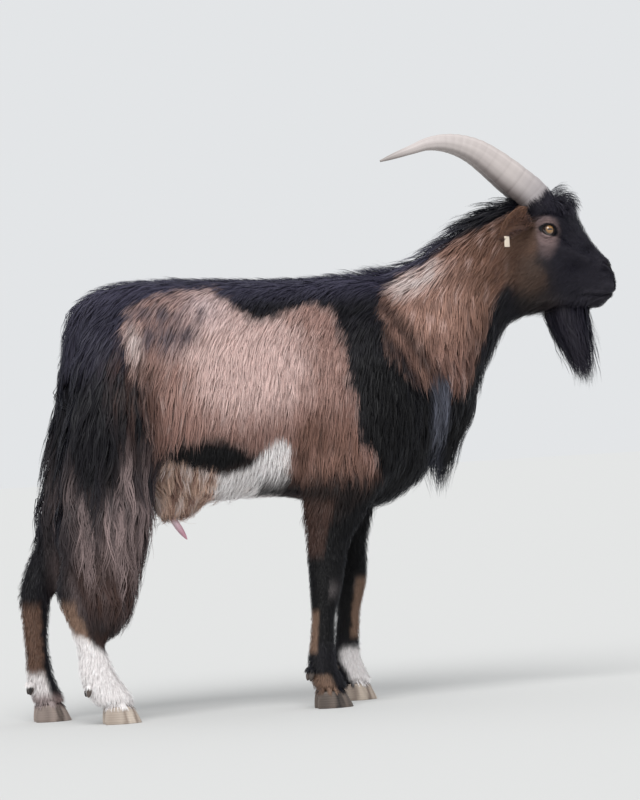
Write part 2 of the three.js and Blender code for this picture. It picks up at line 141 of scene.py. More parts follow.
def sun(name, strength, softness, towards):
    """A wide soft sun that shines along the direction towards."""
    data = bpy.data.lights.new(name, "SUN")
    data.energy = strength
    data.angle = math.radians(softness)
    lamp = link(bpy.data.objects.new(name, data))
    lamp.rotation_euler = Vector(towards).to_track_quat("-Z", "Y").to_euler()
    return lamp


plain_floor()
sun("key_light", SUN_STRENGTH, 40, (0.25, 0.65, -0.8))
sky = bpy.data.worlds.new("sky")
sky.use_nodes = True
sky.node_tree.nodes["Background"].inputs["Color"].default_value = (0.96, 0.98, 1.0, 1)
sky.node_tree.nodes["Background"].inputs["Strength"].default_value = SKY_STRENGTH
bpy.context.scene.world = sky
bpy.context.scene.view_settings.view_transform = "Standard"
print("Floor, sky and", len(bpy.data.lights), "lamp are set")

# %% [markdown]
# ## The goat that looks straight ahead
#
# This goat turns its head a little to its right: the neck bends evenly from its root to the poll,
# and the head follows in one piece. Everything on neck and head is easier to place on a goat that
# looks straight ahead, so these two functions unbend a point and bend it again. Straight places
# are in millimetres, which suits the small numbers of a face.

# %% Bending and unbending the neck
NECK_ROOT = 231.6
POLL = 381.6
HEAD_TURN = math.radians(9)
TURN_RADIUS = (POLL - NECK_ROOT) / HEAD_TURN


def straightened(places):
    """Finished places in metres as straight places in millimetres."""
    ahead = places[:, 0] / MM - NECK_ROOT
    out = places[:, 1] / MM + TURN_RADIUS
    angle = np.clip(np.arctan2(ahead, out), 0, HEAD_TURN)
    past = ahead * np.cos(angle) - out * np.sin(angle)
    side = ahead * np.sin(angle) + out * np.cos(angle) - TURN_RADIUS
    return np.stack([NECK_ROOT + angle * TURN_RADIUS + past, side, places[:, 2] / MM], 1)


def bent(straight, rigid=False):
    """Straight places in millimetres as finished places in metres; rigid parts turn with the head."""
    span = POLL - NECK_ROOT
    ahead = straight[:, 0] - NECK_ROOT
    along = np.full_like(ahead, span) if rigid else np.clip(ahead, 0, span)
    angle = HEAD_TURN * along / span
    past = ahead - along
    x = NECK_ROOT + (TURN_RADIUS + straight[:, 1]) * np.sin(angle) + past * np.cos(angle)
    y = (TURN_RADIUS + straight[:, 1]) * np.cos(angle) - TURN_RADIUS - past * np.sin(angle)
    return np.stack([x, y, straight[:, 2]], 1) * MM


def bent_directions(directions, straight):
    """Directions on the straight goat, turned as much as the neck is at those straight places."""
    span = POLL - NECK_ROOT
    angle = HEAD_TURN * np.clip(straight[:, 0] - NECK_ROOT, 0, span) / span
    x = directions[:, 0] * np.cos(angle) + directions[:, 1] * np.sin(angle)
    y = directions[:, 1] * np.cos(angle) - directions[:, 0] * np.sin(angle)
    return np.stack([x, y, directions[:, 2]], 1)


def to_the_left(straight):
    """The same places, all brought to the left side."""
    return np.stack([straight[:, 0], np.abs(straight[:, 1]), straight[:, 2]], 1)


def unit(vectors):
    return vectors / np.maximum(np.linalg.norm(vectors, axis=-1, keepdims=True), 1e-9)


def smoothstep(low, high, value):
    t = np.clip((value - low) / (high - low), 0, 1)
    return t * t * (3 - 2 * t)


def curve_through(points, t):
    """Places at t (0 to 1) on a smooth curve through the points."""
    p = np.vstack([2 * points[0] - points[1], points, 2 * points[-1] - points[-2]])
    spans = len(points) - 1
    k = np.minimum((t * spans).astype(int), spans - 1)
    u = (t * spans - k)[:, None]
    a, b, c, d = p[k], p[k + 1], p[k + 2], p[k + 3]
    squared = (2 * a - 5 * b + 4 * c - d) * u ** 2
    cubed = (3 * b - a - 3 * c + d) * u ** 3
    return 0.5 * (2 * b + (c - a) * u + squared + cubed)


def smoothed_row(values, times):
    """A row of numbers, smoothed along its length."""
    for _ in range(times):
        wide = np.concatenate([values[:1], values, values[-1:]])
        values = (wide[:-2] + 2 * values + wide[2:]) / 4
    return values


def wobble_row(values, waves):
    """A smooth uneven value about from -1 to 1 along a row of numbers."""
    total = sum(np.sin(values * (0.6 + 0.55 * k) + 1.7 * k * k) / (1 + 0.35 * k) for k in range(waves))
    return total / math.sqrt(waves) * 1.2


test = np.array([[500.0, 53.0, 937.0], [300.0, -60.0, 800.0], [-100.0, 100.0, 500.0]])
print("Bent and unbent again:", np.abs(straightened(bent(test)) - test).max().round(6), "mm off")

# %% [markdown]
# ## The chart of the coat
#
# A goat's hair is short on the face and the feet, longer on the neck, and longest on the breeches
# behind. It could be painted on by hand; a chart is quicker to read and to change. Each row names
# a place on the left side, gives the lie of the hair there as a direction, and then how deep the
# coat is, how long its hair is and how far it waves, all in millimetres. Between the rows the
# values blend.

# %% The chart: place, lie, depth, length, wave
COAT_CHART = {
    # head
    "nose bridge": [(602, 0, 897), (-0.5, 0.1, 0.8), 2.5, 6, 0],
    "nose tip": [(628, 8, 850), (-0.5, 0.3, 0.8), 1.5, 4, 0],
    "muzzle side": [(612, 32, 845), (-1, 0, 0.1), 2.5, 5, 0],
    "lips": [(622, 22, 808), (-0.9, 0, -0.3), 2, 5, 0],
    "chin": [(590, 14, 780), (-0.4, 0, -0.9), 4, 18, 0],
    "beard root": [(540, 14, 768), (-0.1, 0.1, -1), 8, 52, 2],
    "side of the beard": [(540, 34, 788), (-0.15, 0.05, -1), 5, 36, 1.5],
    "nose side": [(575, 38, 870), (-0.95, 0, 0.1), 3, 8, 0],
    "under the eye": [(500, 62, 905), (-0.9, 0.1, -0.4), 3, 8, 0],
    "brow": [(505, 58, 955), (-0.7, 0.3, 0.5), 4, 11, 0],
    "forehead": [(556, 12, 968), (-0.3, 0.2, 0.9), 6, 16, 0],
    "forelock front": [(545, 26, 996), (0.35, 0.3, -0.8), 13, 38, 1],
    "forelock": [(520, 18, 1020), (0.75, 0.35, 0), 18, 44, 1.5],
    "poll": [(450, 0, 1015), (-0.9, 0.2, 0.1), 16, 60, 1.5],
    "temple": [(462, 62, 980), (-0.8, 0.2, -0.4), 7, 18, 0],
    "ear root": [(443, 64, 966), (-0.65, 0.65, -0.25), 7, 20, 0.5],
    "ear": [(415, 96, 952), (-0.62, 0.7, -0.3), 2.5, 10, 0],
    "ear tip": [(385, 130, 925), (-0.62, 0.6, -0.5), 1.8, 8, 0],
    "cheek": [(470, 62, 870), (-0.75, 0.1, -0.65), 5, 15, 1],
    "side of the jaw": [(540, 45, 825), (-0.9, 0, -0.4), 4, 12, 0],
    "jaw angle": [(470, 50, 800), (-0.65, 0, -0.75), 8, 22, 1],
    "under the jaw": [(480, 10, 758), (-0.8, 0, -0.5), 9, 28, 1],
    "throat": [(400, 10, 725), (-0.4, 0, -0.9), 20, 55, 2],
    # neck
    "crest front": [(402, 0, 1002), (-0.9, 0.25, -0.15), 18, 84, 1.5],
    "crest": [(314, 0, 965), (-0.9, 0.3, -0.3), 20, 88, 1.5],
    "crest root": [(224, 0, 900), (-0.9, 0.35, -0.45), 18, 80, 1.5],
    "upper neck": [(365, 72, 925), (-0.35, 0.1, -0.95), 18, 55, 2],
    "neck": [(310, 95, 800), (-0.05, 0.1, -1), 24, 78, 3],
    "lower neck": [(250, 108, 690), (0.12, 0.1, -1), 26, 84, 4],
    "neck fringe": [(240, 100, 620), (0.1, 0, -1), 26, 85, 4.5],
    "throat strip": [(372, 0, 660), (-0.15, 0, -1), 22, 70, 4],
    "brisket": [(270, 0, 530), (0, 0, -1), 22, 70, 4],
    "lower brisket": [(190, 0, 430), (-0.3, 0, -0.95), 16, 50, 3],
    # shoulder
    "withers": [(120, 0, 874), (-0.9, 0.3, -0.1), 13, 48, 1],
    "shoulder top": [(110, 95, 820), (-0.6, 0.2, -0.8), 15, 50, 1.2],
    "shoulder": [(140, 130, 720), (-0.25, 0.1, -0.95), 17, 55, 1.2],
    "shoulder point": [(195, 135, 620), (-0.05, 0, -1), 17, 55, 2],
    "upper arm": [(70, 148, 600), (-0.15, 0.1, -1), 18, 62, 2.5],
    "elbow": [(0, 142, 500), (-0.05, 0, -1), 20, 78, 3.5],
    # trunk
    "back": [(-100, 0, 873), (-0.9, 0.35, -0.1), 11, 42, 1],
    "loin": [(-260, 0, 882), (-0.9, 0.35, -0.1), 11, 42, 1],
    "upper ribs": [(0, 110, 810), (-0.5, 0.25, -0.85), 16, 44, 1],
    "ribs": [(0, 152, 680), (-0.25, 0.05, -0.95), 18, 46, 1.2],
    "upper flank": [(-200, 110, 820), (-0.5, 0.25, -0.85), 16, 44, 1],
    "flank": [(-180, 157, 680), (-0.25, 0, -0.95), 18, 46, 1.2],
    "low flank": [(-90, 148, 540), (-0.1, 0, -1), 18, 46, 1.5],
    "fold of the flank": [(-240, 145, 520), (-0.2, 0, -1), 13, 24, 0.5],
    "side of the belly": [(-60, 110, 450), (-0.3, -0.3, -0.8), 14, 36, 1],
    "belly": [(-60, 0, 425), (-0.9, 0, -0.3), 10, 28, 1],
    "sheath": [(-270, 25, 420), (-0.1, 0, -1), 13, 46, 6],
    # rump and thigh
    "croup": [(-380, 0, 870), (-0.85, 0.35, -0.4), 12, 48, 1],
    "rump": [(-425, 70, 800), (-0.55, 0.2, -0.8), 16, 66, 3],
    "hip": [(-340, 118, 775), (-0.35, 0.2, -0.9), 16, 62, 2],
    "thigh": [(-390, 158, 650), (-0.1, 0.05, -1), 24, 125, 3],
    "back of the thigh": [(-520, 105, 620), (-0.15, 0, -1), 24, 130, 3],
    "breeches": [(-440, 170, 480), (-0.03, 0, -1), 30, 185, 5],
    "front of the breeches": [(-350, 150, 450), (-0.05, 0, -1), 26, 150, 4.5],
    "low breeches": [(-460, 150, 330), (-0.03, 0, -1), 26, 125, 5.5],
    "inside of the breeches": [(-440, 55, 480), (0, 0, -1), 24, 100, 4],
    "root of the tail": [(-450, 0, 835), (-0.6, 0.25, -0.8), 8, 60, 2],
    "tail": [(-480, 0, 750), (-0.15, 0, -1), 4.5, 80, 4],
    "tip of the tail": [(-490, 0, 675), (-0.1, 0, -1), 3, 90, 4],
    "scrotum": [(-455, 0, 430), (0, 0, -1), 3.5, 12, 0],
    # legs
    "forearm": [(60, 110, 430), (-0.12, 0, -1), 13, 42, 4],
    "lower forearm": [(5, 95, 340), (-0.1, 0, -1), 7, 20, 1],
    "knee": [(0, 88, 262), (-0.05, 0, -1), 3, 9, 0],
    "fore cannon": [(-35, 88, 170), (-0.1, 0, -1), 4, 11, 0],
    "fore pastern": [(-35, 88, 75), (-0.2, 0, -1), 4, 14, 0],
    "fore coronet": [(5, 88, 40), (0.1, 0, -1), 4, 15, 0],
    "hock": [(-540, 104, 330), (-0.1, 0, -1), 5, 16, 1],
    "hind cannon": [(-525, 104, 190), (-0.1, 0, -1), 5, 16, 1],
    "fetlock": [(-505, 104, 95), (-0.2, 0, -1), 6, 18, 1],
    "hind coronet": [(-465, 104, 42), (0.2, 0, -1), 4, 16, 0],
}
LENGTHWISE_WEIGHT = 0.6  # a step along the body counts less than a step up or sideways
PARTING = 20  # millimetres beside the middle line within which the hair turns straight back
BLEND_REACH = 22  # millimetres within which rows blend fully
BATCH = 20000  # places read from the chart at a time, to spare memory
chart_places = np.array([row[0] for row in COAT_CHART.values()], float)
chart_values = np.array([[*row[1], *row[2:]] for row in COAT_CHART.values()], float)


def coat_at(straight):
    """The lie, depth, length and wave of the coat at straight places."""
    left = to_the_left(straight)
    stretch = np.array([LENGTHWISE_WEIGHT, 1, 1])
    out = np.empty((len(straight), chart_values.shape[1]))
    for start in range(0, len(straight), BATCH):
        part = left[start:start + BATCH]
        gaps = (part[:, None, :] - chart_places[None]) * stretch
        weight = 1 / (np.einsum("ijk,ijk->ij", gaps, gaps) + BLEND_REACH ** 2) ** 2.5
        out[start:start + BATCH] = weight @ chart_values / weight.sum(1, keepdims=True)
    lie = out[:, :3]
    lie[:, 1] *= np.clip(straight[:, 1] / PARTING, -1, 1)
    return unit(lie), out[:, 3], out[:, 4], out[:, 5]


print(len(COAT_CHART), "places on the chart, lengths from",
      chart_values[:, 4].min(), "to", chart_values[:, 4].max(), "mm")

# %% [markdown]
# ## The skin
#
# Under its hair a goat is one closed skin. The solids of head, neck, trunk and legs are joined by
# a voxel remesh, which melts neighbouring shells into one, and the result is drawn in by the
# coat's depth, in small steps with a little smoothing, so that no fold crosses another. The
# beard and the tassel on the chest are all hair, so they have no skin inside.

# %% Joining the flesh
FLESH = [
    "head", "neck", "trunk", "tail", "sheath", "scrotum", "thigh_left", "thigh_right",
    "foreleg_upper_left", "foreleg_upper_right", "foreleg_lower_left", "foreleg_lower_right",
    "hindleg_lower_left", "hindleg_lower_right",
]
HAIR_ONLY = ["beard", "chest_mane"]
VOXEL = 0.0072
SWELL = 0.0006  # closes the thin cuts between the solids
MERGE = 1e-5  # corners nearer than this are one corner
HORN_ROOT_LENGTH = 0.045
HORN_ROOT_LEAN = Vector((-0.5, 0, 0.86))  # the way the horns leave the head


def joined_solids(names):
    """One bmesh of merged copies of the solids, each a little swollen."""
    shape = bmesh.new()
    for name in names:
        shape.from_mesh(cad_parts[name].data)
    bmesh.ops.remove_doubles(shape, verts=shape.verts, dist=MERGE)
    shape.normal_update()
    for vertex in shape.verts:
        vertex.co += vertex.normal * SWELL
    return shape


def add_horn_roots(shape):
    """Fills the sockets of the horns with the lowest stretch of each horn."""
    for side in SIDES:
        root = bmesh.new()
        root.from_mesh(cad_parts[f"horn_{side}"].data)
        bmesh.ops.remove_doubles(root, verts=root.verts, dist=MERGE)
        low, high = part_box(f"horn_{side}")
        cut = Vector((high.x, 0, low.z)) + HORN_ROOT_LEAN * HORN_ROOT_LENGTH
        everything = root.verts[:] + root.edges[:] + root.faces[:]
        bmesh.ops.bisect_plane(root, geom=everything, plane_co=cut, plane_no=HORN_ROOT_LEAN, clear_outer=True)
        bmesh.ops.holes_fill(root, edges=root.edges)
        stub = bpy.data.meshes.new("stub")
        root.to_mesh(stub)
        root.free()
        shape.from_mesh(stub)
        bpy.data.meshes.remove(stub)


def remeshed(shape, voxel):
    """A closed quad mesh round everything in the bmesh, which is freed."""
    mesh = bpy.data.meshes.new("rough")
    shape.to_mesh(mesh)
    shape.free()
    thing = link(bpy.data.objects.new("rough", mesh))
    modifier = thing.modifiers.new("melt", "REMESH")
    modifier.mode = "VOXEL"
    modifier.voxel_size = voxel
    result = bpy.data.meshes.new_from_object(thing.evaluated_get(bpy.context.evaluated_depsgraph_get()))
    bpy.data.objects.remove(thing)
    bpy.data.meshes.remove(mesh)
    return result


def points_of(shape):
    """The places of a bmesh's points."""
    return np.array([vertex.co for vertex in shape.verts])


def move_points(shape, places):
    for vertex, place in zip(shape.verts, places):
        vertex.co = place


def places_of(mesh):
    places = np.empty(len(mesh.vertices) * 3, np.float32)
    mesh.vertices.foreach_get("co", places)
    return places.reshape(-1, 3).astype(float)


def set_places(mesh, places):
    mesh.vertices.foreach_set("co", places.astype(np.float32).ravel())
    mesh.update()


def normals_of(mesh):
    normals = np.empty(len(mesh.vertices) * 3, np.float32)
    mesh.vertex_normals.foreach_get("vector", normals)
    return normals.reshape(-1, 3).astype(float).round(5)


def edges_of(mesh):
    edges = np.empty(len(mesh.edges) * 2, np.int32)
    mesh.edges.foreach_get("vertices", edges)
    return edges.reshape(-1, 2)


def smoothed(values, edges, times, strength=0.5):
    """Values on vertices, each moved towards the mean of its neighbours, several times."""
    count = len(values)
    neighbours = np.maximum(np.bincount(edges.ravel(), minlength=count), 1)[:, None]
    for _ in range(times):
        total = np.stack([
            np.bincount(edges[:, 0], values[edges[:, 1], axis], count)
            + np.bincount(edges[:, 1], values[edges[:, 0], axis], count)
            for axis in range(values.shape[1])
        ], 1)
        values = values + (total / neighbours - values) * strength
    return values


claw_nodes = [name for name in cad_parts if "claw" in name]
outer_shape = joined_solids(FLESH + HAIR_ONLY + ["ear_left", "ear_right"] + claw_nodes)
add_horn_roots(outer_shape)
outline_mesh = remeshed(outer_shape, VOXEL)
skin_shape = joined_solids(FLESH + ["eye_left", "eye_right"])
add_horn_roots(skin_shape)
skin_mesh = remeshed(skin_shape, VOXEL)
print("The joined skin has", len(skin_mesh.polygons), "faces")

# %% Drawing the skin in by the coat's depth
DRAW_STEPS = 5


def draw_in(mesh):
    """Moves the skin inwards by the depth on the chart."""
    edges = edges_of(mesh)
    places = smoothed(places_of(mesh), edges, 2)
    depth = coat_at(straightened(places))[1][:, None] * MM
    depth = smoothed(depth, edges, 10)
    for _ in range(DRAW_STEPS):
        set_places(mesh, places)
        places = places - normals_of(mesh) * depth / DRAW_STEPS
        places = smoothed(places, edges, 1, 0.3)
    set_places(mesh, places)


draw_in(skin_mesh)
melt_again = bmesh.new()
melt_again.from_mesh(skin_mesh)
skin_mesh = remeshed(melt_again, VOXEL)
set_places(skin_mesh, smoothed(places_of(skin_mesh), edges_of(skin_mesh), 2))


def calm(mesh):
    """Smooths what the drawing in leaves ragged: the root of the tail and between the thighs."""
    places = places_of(mesh)
    x, y, z = straightened(places).T
    beside = smoothstep(-330, -370, x) * smoothstep(110, 80, np.abs(y))
    between = beside * smoothstep(300, 340, z) * smoothstep(650, 610, z)
    tail_root = np.exp(-((x + 448) ** 2 + y ** 2 + (z - 850) ** 2) / 42 ** 2)
    amount = np.clip(between + 2 * tail_root, 0, 1)[:, None]
    set_places(mesh, places + (smoothed(places, edges_of(mesh), 25) - places) * amount)


calm(skin_mesh)
print("Drawn in, the skin has", len(skin_mesh.polygons), "faces")

# %% [markdown]
# ## The head
#
# The head gets the most care. Its faces are split finer, and finest round the eyes, the nostrils
# and the mouth. Then forms are pushed out and pressed in along the skin: the brow, the ridge
# below the eye, the cheek muscle, the hollows between them, nostrils, lips and chin. Each form is
# a soft ellipsoid or a soft line. The list gives one side, and both sides follow it.

# %% Finer faces on the head
EYE_CENTRE = np.array([488.6, 53.0, 937.0])
EYE_RADIUS = 13.5


def near(straight, centre, reach):
    return np.linalg.norm(to_the_left(straight) - centre, axis=1) < reach


def on_the_head(straight):
    return straight[:, 0] > 425


def on_the_face(straight):
    return near(straight, EYE_CENTRE, 40) | (straight[:, 0] > 545) & (straight[:, 2] < 885)


def on_fine_folds(straight):
    mouth = (straight[:, 0] > 548) & (np.abs(straight[:, 2] - 800) < 9)
    nostril = near(straight, np.array([615, 22, 860]), 20)
    return near(straight, EYE_CENTRE, 27) | mouth | nostril


def refine(shape, wanted):
    """Splits the faces whose middle is wanted into four."""
    middles = np.array([face.calc_center_median() for face in shape.faces])
    edges = {e for face, pick in zip(shape.faces, wanted(straightened(middles))) if pick for e in face.edges}
    bmesh.ops.subdivide_edges(shape, edges=list(edges), cuts=1, use_grid_fill=True)
    uneven = [face for face in shape.faces if len(face.verts) > 4]
    bmesh.ops.triangulate(shape, faces=uneven)


finer_head = bmesh.new()
finer_head.from_mesh(skin_mesh)
refine(finer_head, on_the_head)
refine(finer_head, on_the_face)
refine(finer_head, on_fine_folds)
finer_head.to_mesh(skin_mesh)
finer_head.free()
head_places = places_of(skin_mesh)
on_head = smoothstep(420, 440, straightened(head_places)[:, 0])[:, None]
set_places(skin_mesh, head_places + (smoothed(head_places, edges_of(skin_mesh), 12) - head_places) * on_head)
print("With a finer head the skin has", len(skin_mesh.polygons), "faces")

# %% Forms of the face
# Place or line, half sizes, and how far the form stands out, all in millimetres
FACE_MOUNDS = {
    "brow": [(499, 47, 959), (22, 14, 9), 5.5],
    "brow behind the eye": [(468, 57, 948), (12, 12, 11), 3.0],
    "temple hollow": [(450, 54, 968), (15, 14, 14), -4.0],
    "hollow before the eye": [(524, 42, 926), (14, 12, 12), -5.5],
    "hollow below the ridge": [(546, 42, 856), (26, 16, 15), -6.0],
    "cheek muscle": [(462, 58, 856), (26, 20, 32), 6.0],
    "behind the cheek": [(424, 62, 862), (10, 20, 34), -4.0],
    "side of the nose": [(578, 27, 893), (22, 9, 9), -4.0],
    "dish of the nose": [(585, 0, 915), (16, 14, 14), -2.0],
    "wing of the nostril": [(611, 25, 873), (12, 10, 7), 4.5],
    "below the nostril": [(606, 32, 849), (11, 9, 5), -3.5],
    "upper lip": [(611, 26, 818), (17, 13, 11), 5.0],
    "corner of the mouth": [(557, 38, 800), (8, 8, 7), -3.5],
    "chin": [(598, 0, 779), (16, 17, 8), 4.0],
    "hollow behind the chin": [(566, 20, 776), (10, 16, 8), -3.0],
    "angle of the jaw": [(438, 50, 812), (14, 14, 14), 3.5],
}
FACE_LINES = {
    "ridge below the eye": [[(462, 63, 912), (508, 57, 903), (545, 46, 889), (574, 41, 874)], 7, 2.8],
    "tear groove": [[(504, 51, 930), (518, 46, 919), (531, 43, 906)], 3.2, -3.6],
    "edge of the jaw": [[(446, 46, 796), (490, 44, 790), (540, 34, 784), (565, 30, 782)], 7, 4.0],
    "nostril": [[(621, 11, 851), (616, 19, 859), (606, 28, 869)], 3.4, -10.0],
    "rim of the nostril": [[(624, 15, 845), (615, 28, 853), (604, 34, 862)], 3.0, 2.6],
    "cleft of the lip": [[(634, 0, 846), (634, 0, 806)], 2.6, -3.2],
    "mouth": [[(556, 39, 800), (582, 35, 795), (608, 28, 797), (628, 10, 803), (632, 0, 805)], 2.0, -6.5],
    "upper rim of the lip": [[(564, 38, 806), (608, 29, 805), (630, 10, 811), (633, 0, 813)], 3.4, 2.6],
    "lower lip": [[(568, 35, 789), (608, 25, 788), (622, 8, 793), (624, 0, 794)], 4.4, 1.8],
    "fold behind the mouth": [[(549, 40, 812), (546, 38, 796), (550, 33, 784)], 3.0, -2.0],
}


def distance_to_line(places, line):
    """Distance from places to a line of straight stretches."""
    line = np.array(line, float)
    closest = np.full(len(places), np.inf)
    for start, end in zip(line, line[1:]):
        along = end - start
        t = np.clip(((places - start) @ along) / (along @ along), 0, 1)
        closest = np.minimum(closest, np.linalg.norm(places - start - t[:, None] * along, axis=1))
    return closest


def laid_on(mesh, line, steps=12):
    """The line with more points, each moved to the nearest place on the skin, on the straight goat."""
    straight = straightened(places_of(mesh))
    head_tree = BVHTree.FromPolygons(straight.tolist(), [list(face.vertices) for face in mesh.polygons])
    line = np.array(line, float)
    t = np.linspace(0, 1, steps)
    path = curve_through(line, t) if len(line) > 2 else line[0] + (line[1] - line[0]) * t[:, None]
    return np.array([head_tree.find_nearest(place)[0] for place in path.tolist()])


def shape_face(mesh):
    """Pushes the mounds and lines out of the skin, or into it."""
    for line in FACE_LINES.values():
        line[0] = laid_on(mesh, line[0])
    places = places_of(mesh)
    left = to_the_left(straightened(places))
    rise = np.zeros(len(places))
    for place, size, amount in FACE_MOUNDS.values():
        rise += amount * np.exp(-(((left - place) / size) ** 2).sum(1))
    for line, width, amount in FACE_LINES.values():
        rise += amount * np.exp(-(distance_to_line(left, line) / width) ** 2)
    set_places(mesh, places + normals_of(mesh) * rise[:, None] * MM)


shape_face(skin_mesh)
print(len(FACE_MOUNDS) + len(FACE_LINES), "forms shape each side of the face")

# %% [markdown]
# ## Eyes and their lids
#
# A goat's eye looks sideways and a little forwards. The lids are folds of the skin itself: round
# the eyeball the skin is pulled in behind it, stands up as a rim that touches it, and falls away
# over a rounded lid with a crease. The eyeball is a fine sphere with an amber iris and a level
# dark pupil, and a slightly raised front.

# %% Lids
EYE_OUT = unit(np.array([0.25, 0.95, 0.12]))
EYE_AHEAD = unit(np.cross(EYE_OUT, unit(np.array([0.28, 0.0, 0.96]))))
EYE_UP = np.cross(EYE_AHEAD, EYE_OUT)
LID_PROFILE = np.array([
    # place across the opening, height over the eyeball's middle in its radii
    (0.0, 0.80), (0.90, 0.80), (1.0, 1.01), (1.14, 1.15), (1.45, 1.19), (1.72, 1.10), (1.9, 1.13), (2.5, 1.0),
])


def across_opening(left):
    """0 at the middle of the eye's opening, 1 at its edge, more beyond; and the way to the eye's middle."""
    way = (left - EYE_CENTRE) / EYE_RADIUS
    s, t, out = way @ EYE_AHEAD, way @ EYE_UP, way @ EYE_OUT
    centre_line = -0.10 * s - 0.05 * s * s
    upper = t > centre_line
    height = np.where(upper, 0.62, 0.52)
    q = np.sqrt((s / 0.95) ** 2 + ((t - centre_line) / height) ** 2)
    return q, np.linalg.norm(way, axis=1), out, upper


def shape_lids(mesh):
    """Lays the skin round the eyeball as two lids."""
    places = places_of(mesh)
    straight = straightened(places)
    left = to_the_left(straight)
    q, far, out, upper = across_opening(left)
    beyond = smoothstep(2.5, 1.5, q) * smoothstep(-0.35, 0.1, out) * (far < 2.6)
    target = np.interp(q, LID_PROFILE[:, 0], LID_PROFILE[:, 1])
    target += 0.03 * upper * np.exp(-((q - 1.3) / 0.3) ** 2)
    wanted = EYE_CENTRE + (left - EYE_CENTRE) * (target / np.maximum(far, 1e-6))[:, None]
    moved = left + (wanted - left) * beyond[:, None]
    moved[:, 1] *= np.where(straight[:, 1] < 0, -1, 1)
    changed = beyond > 0
    places[changed] = bent(moved, rigid=True)[changed]
    set_places(mesh, places)
    return changed.sum()


print(shape_lids(skin_mesh), "points of skin form the lids")

# %% [markdown]
# ## Ears
#
# The ears point back, down and out. Each is a cupped leaf: a grid bent along the ear's line, its
# edges curled forwards, given thickness, and set deep in the head. It belongs to the skin, and
# its foot disappears in the hair behind the horn.

# %% Leaves for the ears
EAR_LINE = np.array([(444, 52, 966), (452, 60, 967), (430, 84, 962), (405, 113, 945), (382, 136, 920)], float)
EAR_HALF = np.array([(0, 11), (0.15, 17), (0.42, 25), (0.7, 23), (0.9, 14), (1, 4)])
EAR_CUP = 0.55
EAR_THICKNESS = 2.6
EAR_FACING = np.array([0.55, 0.62, 0.1])  # the way the hollow of the ear opens


def ear_leaf(side):
    """One ear as a bmesh on the turned head."""
    leaf = bmesh.new()
    bmesh.ops.create_grid(leaf, x_segments=26, y_segments=14, size=1)
    flat = points_of(leaf)
    t, v = (flat[:, 0] + 1) / 2, flat[:, 1]
    centre = curve_through(EAR_LINE, t)
    behind, ahead = (curve_through(EAR_LINE, np.clip(t + step, 0, 1)) for step in (-0.02, 0.02))
    along = unit(ahead - behind)
    opening = unit(EAR_FACING - along * (along @ EAR_FACING)[:, None])
    wide = np.cross(opening, along)
    half = np.interp(t, EAR_HALF[:, 0], EAR_HALF[:, 1])
    curl = v * EAR_CUP * (1.25 - 0.5 * t)
    places = centre + wide * (half * v * np.sinc(curl / math.pi))[:, None]
    places += opening * (half * (1 - np.cos(curl)) * 1.1 - 2)[:, None]
    places[:, 1] *= side
    move_points(leaf, bent(places, rigid=True))
    bmesh.ops.solidify(leaf, geom=leaf.faces[:], thickness=EAR_THICKNESS * MM)
    bmesh.ops.recalc_face_normals(leaf, faces=leaf.faces)
    return leaf


with_ears = bmesh.new()
with_ears.from_mesh(skin_mesh)
for side in SIDES.values():
    leaf = ear_leaf(side)
    leaf_mesh = bpy.data.meshes.new("leaf")
    leaf.to_mesh(leaf_mesh)
    leaf.free()
    with_ears.from_mesh(leaf_mesh)
    bpy.data.meshes.remove(leaf_mesh)
with_ears.to_mesh(skin_mesh)
with_ears.free()
skin = link(bpy.data.objects.new("skin", skin_mesh))
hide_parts(*FLESH, "ear_left", "ear_right")
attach(skin, "root")
print("Skin with ears:", len(skin_mesh.polygons), "faces")

# %% [markdown]
# ## Eyeballs, horns and claws
#
# These stay pieces of their own. Horns and claws are drawn as rings of points along their length,
# joined ring to ring, because both grow in rings: a horn thickens in ridges, and a claw shows
# fine lines parallel to its upper edge.

# %% Materials for plain parts
def painted(name, roughness, attribute=None, colour=None, coat=0.0, specular=0.5):
    """A material of one colour, or of the colours stored on the mesh."""
    paint, shader = new_material(name, roughness, specular)
    nodes, links = paint.node_tree.nodes, paint.node_tree.links
    shader.inputs["Coat Weight"].default_value = coat
    shader.inputs["Coat Roughness"].default_value = 0.03
    if attribute:
        reader = nodes.new("ShaderNodeAttribute")
        reader.attribute_name = attribute
        links.new(reader.outputs["Color"], shader.inputs["Base Color"])
    else:
        shader.inputs["Base Color"].default_value = (*colour, 1)
    return paint


def linear(colour):
    """A colour of 0 to 255 as the screen shows it, as linear light."""
    c = np.array(colour, float) / 255
    return np.where(c <= 0.04045, c / 12.92, ((c + 0.055) / 1.055) ** 2.4)


def colour_points(mesh, colours, name="colour"):
    """Stores a linear colour on every point of the mesh."""
    full = np.ones((len(mesh.vertices), 4), np.float32)
    full[:, :3] = colours
    attribute = mesh.color_attributes.new(name, "FLOAT_COLOR", "POINT")
    attribute.data.foreach_set("color", full.ravel())


def finished(name, mesh, material, slot, *nodes):
    """The mesh as a finished piece that stands in for the nodes."""
    mesh.materials.append(material)
    piece = link(bpy.data.objects.new(name, mesh))
    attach(piece, "root")
    if nodes:
        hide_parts(*nodes)
    return piece


def add_piece(name, shape, material, slot, *nodes):
    """Turns the bmesh into a finished piece with smooth faces."""
    mesh = bpy.data.meshes.new(name)
    shape.to_mesh(mesh)
    shape.free()
    mesh.polygons.foreach_set("use_smooth", np.ones(len(mesh.polygons), bool))
    return finished(name, mesh, material, slot, *nodes)


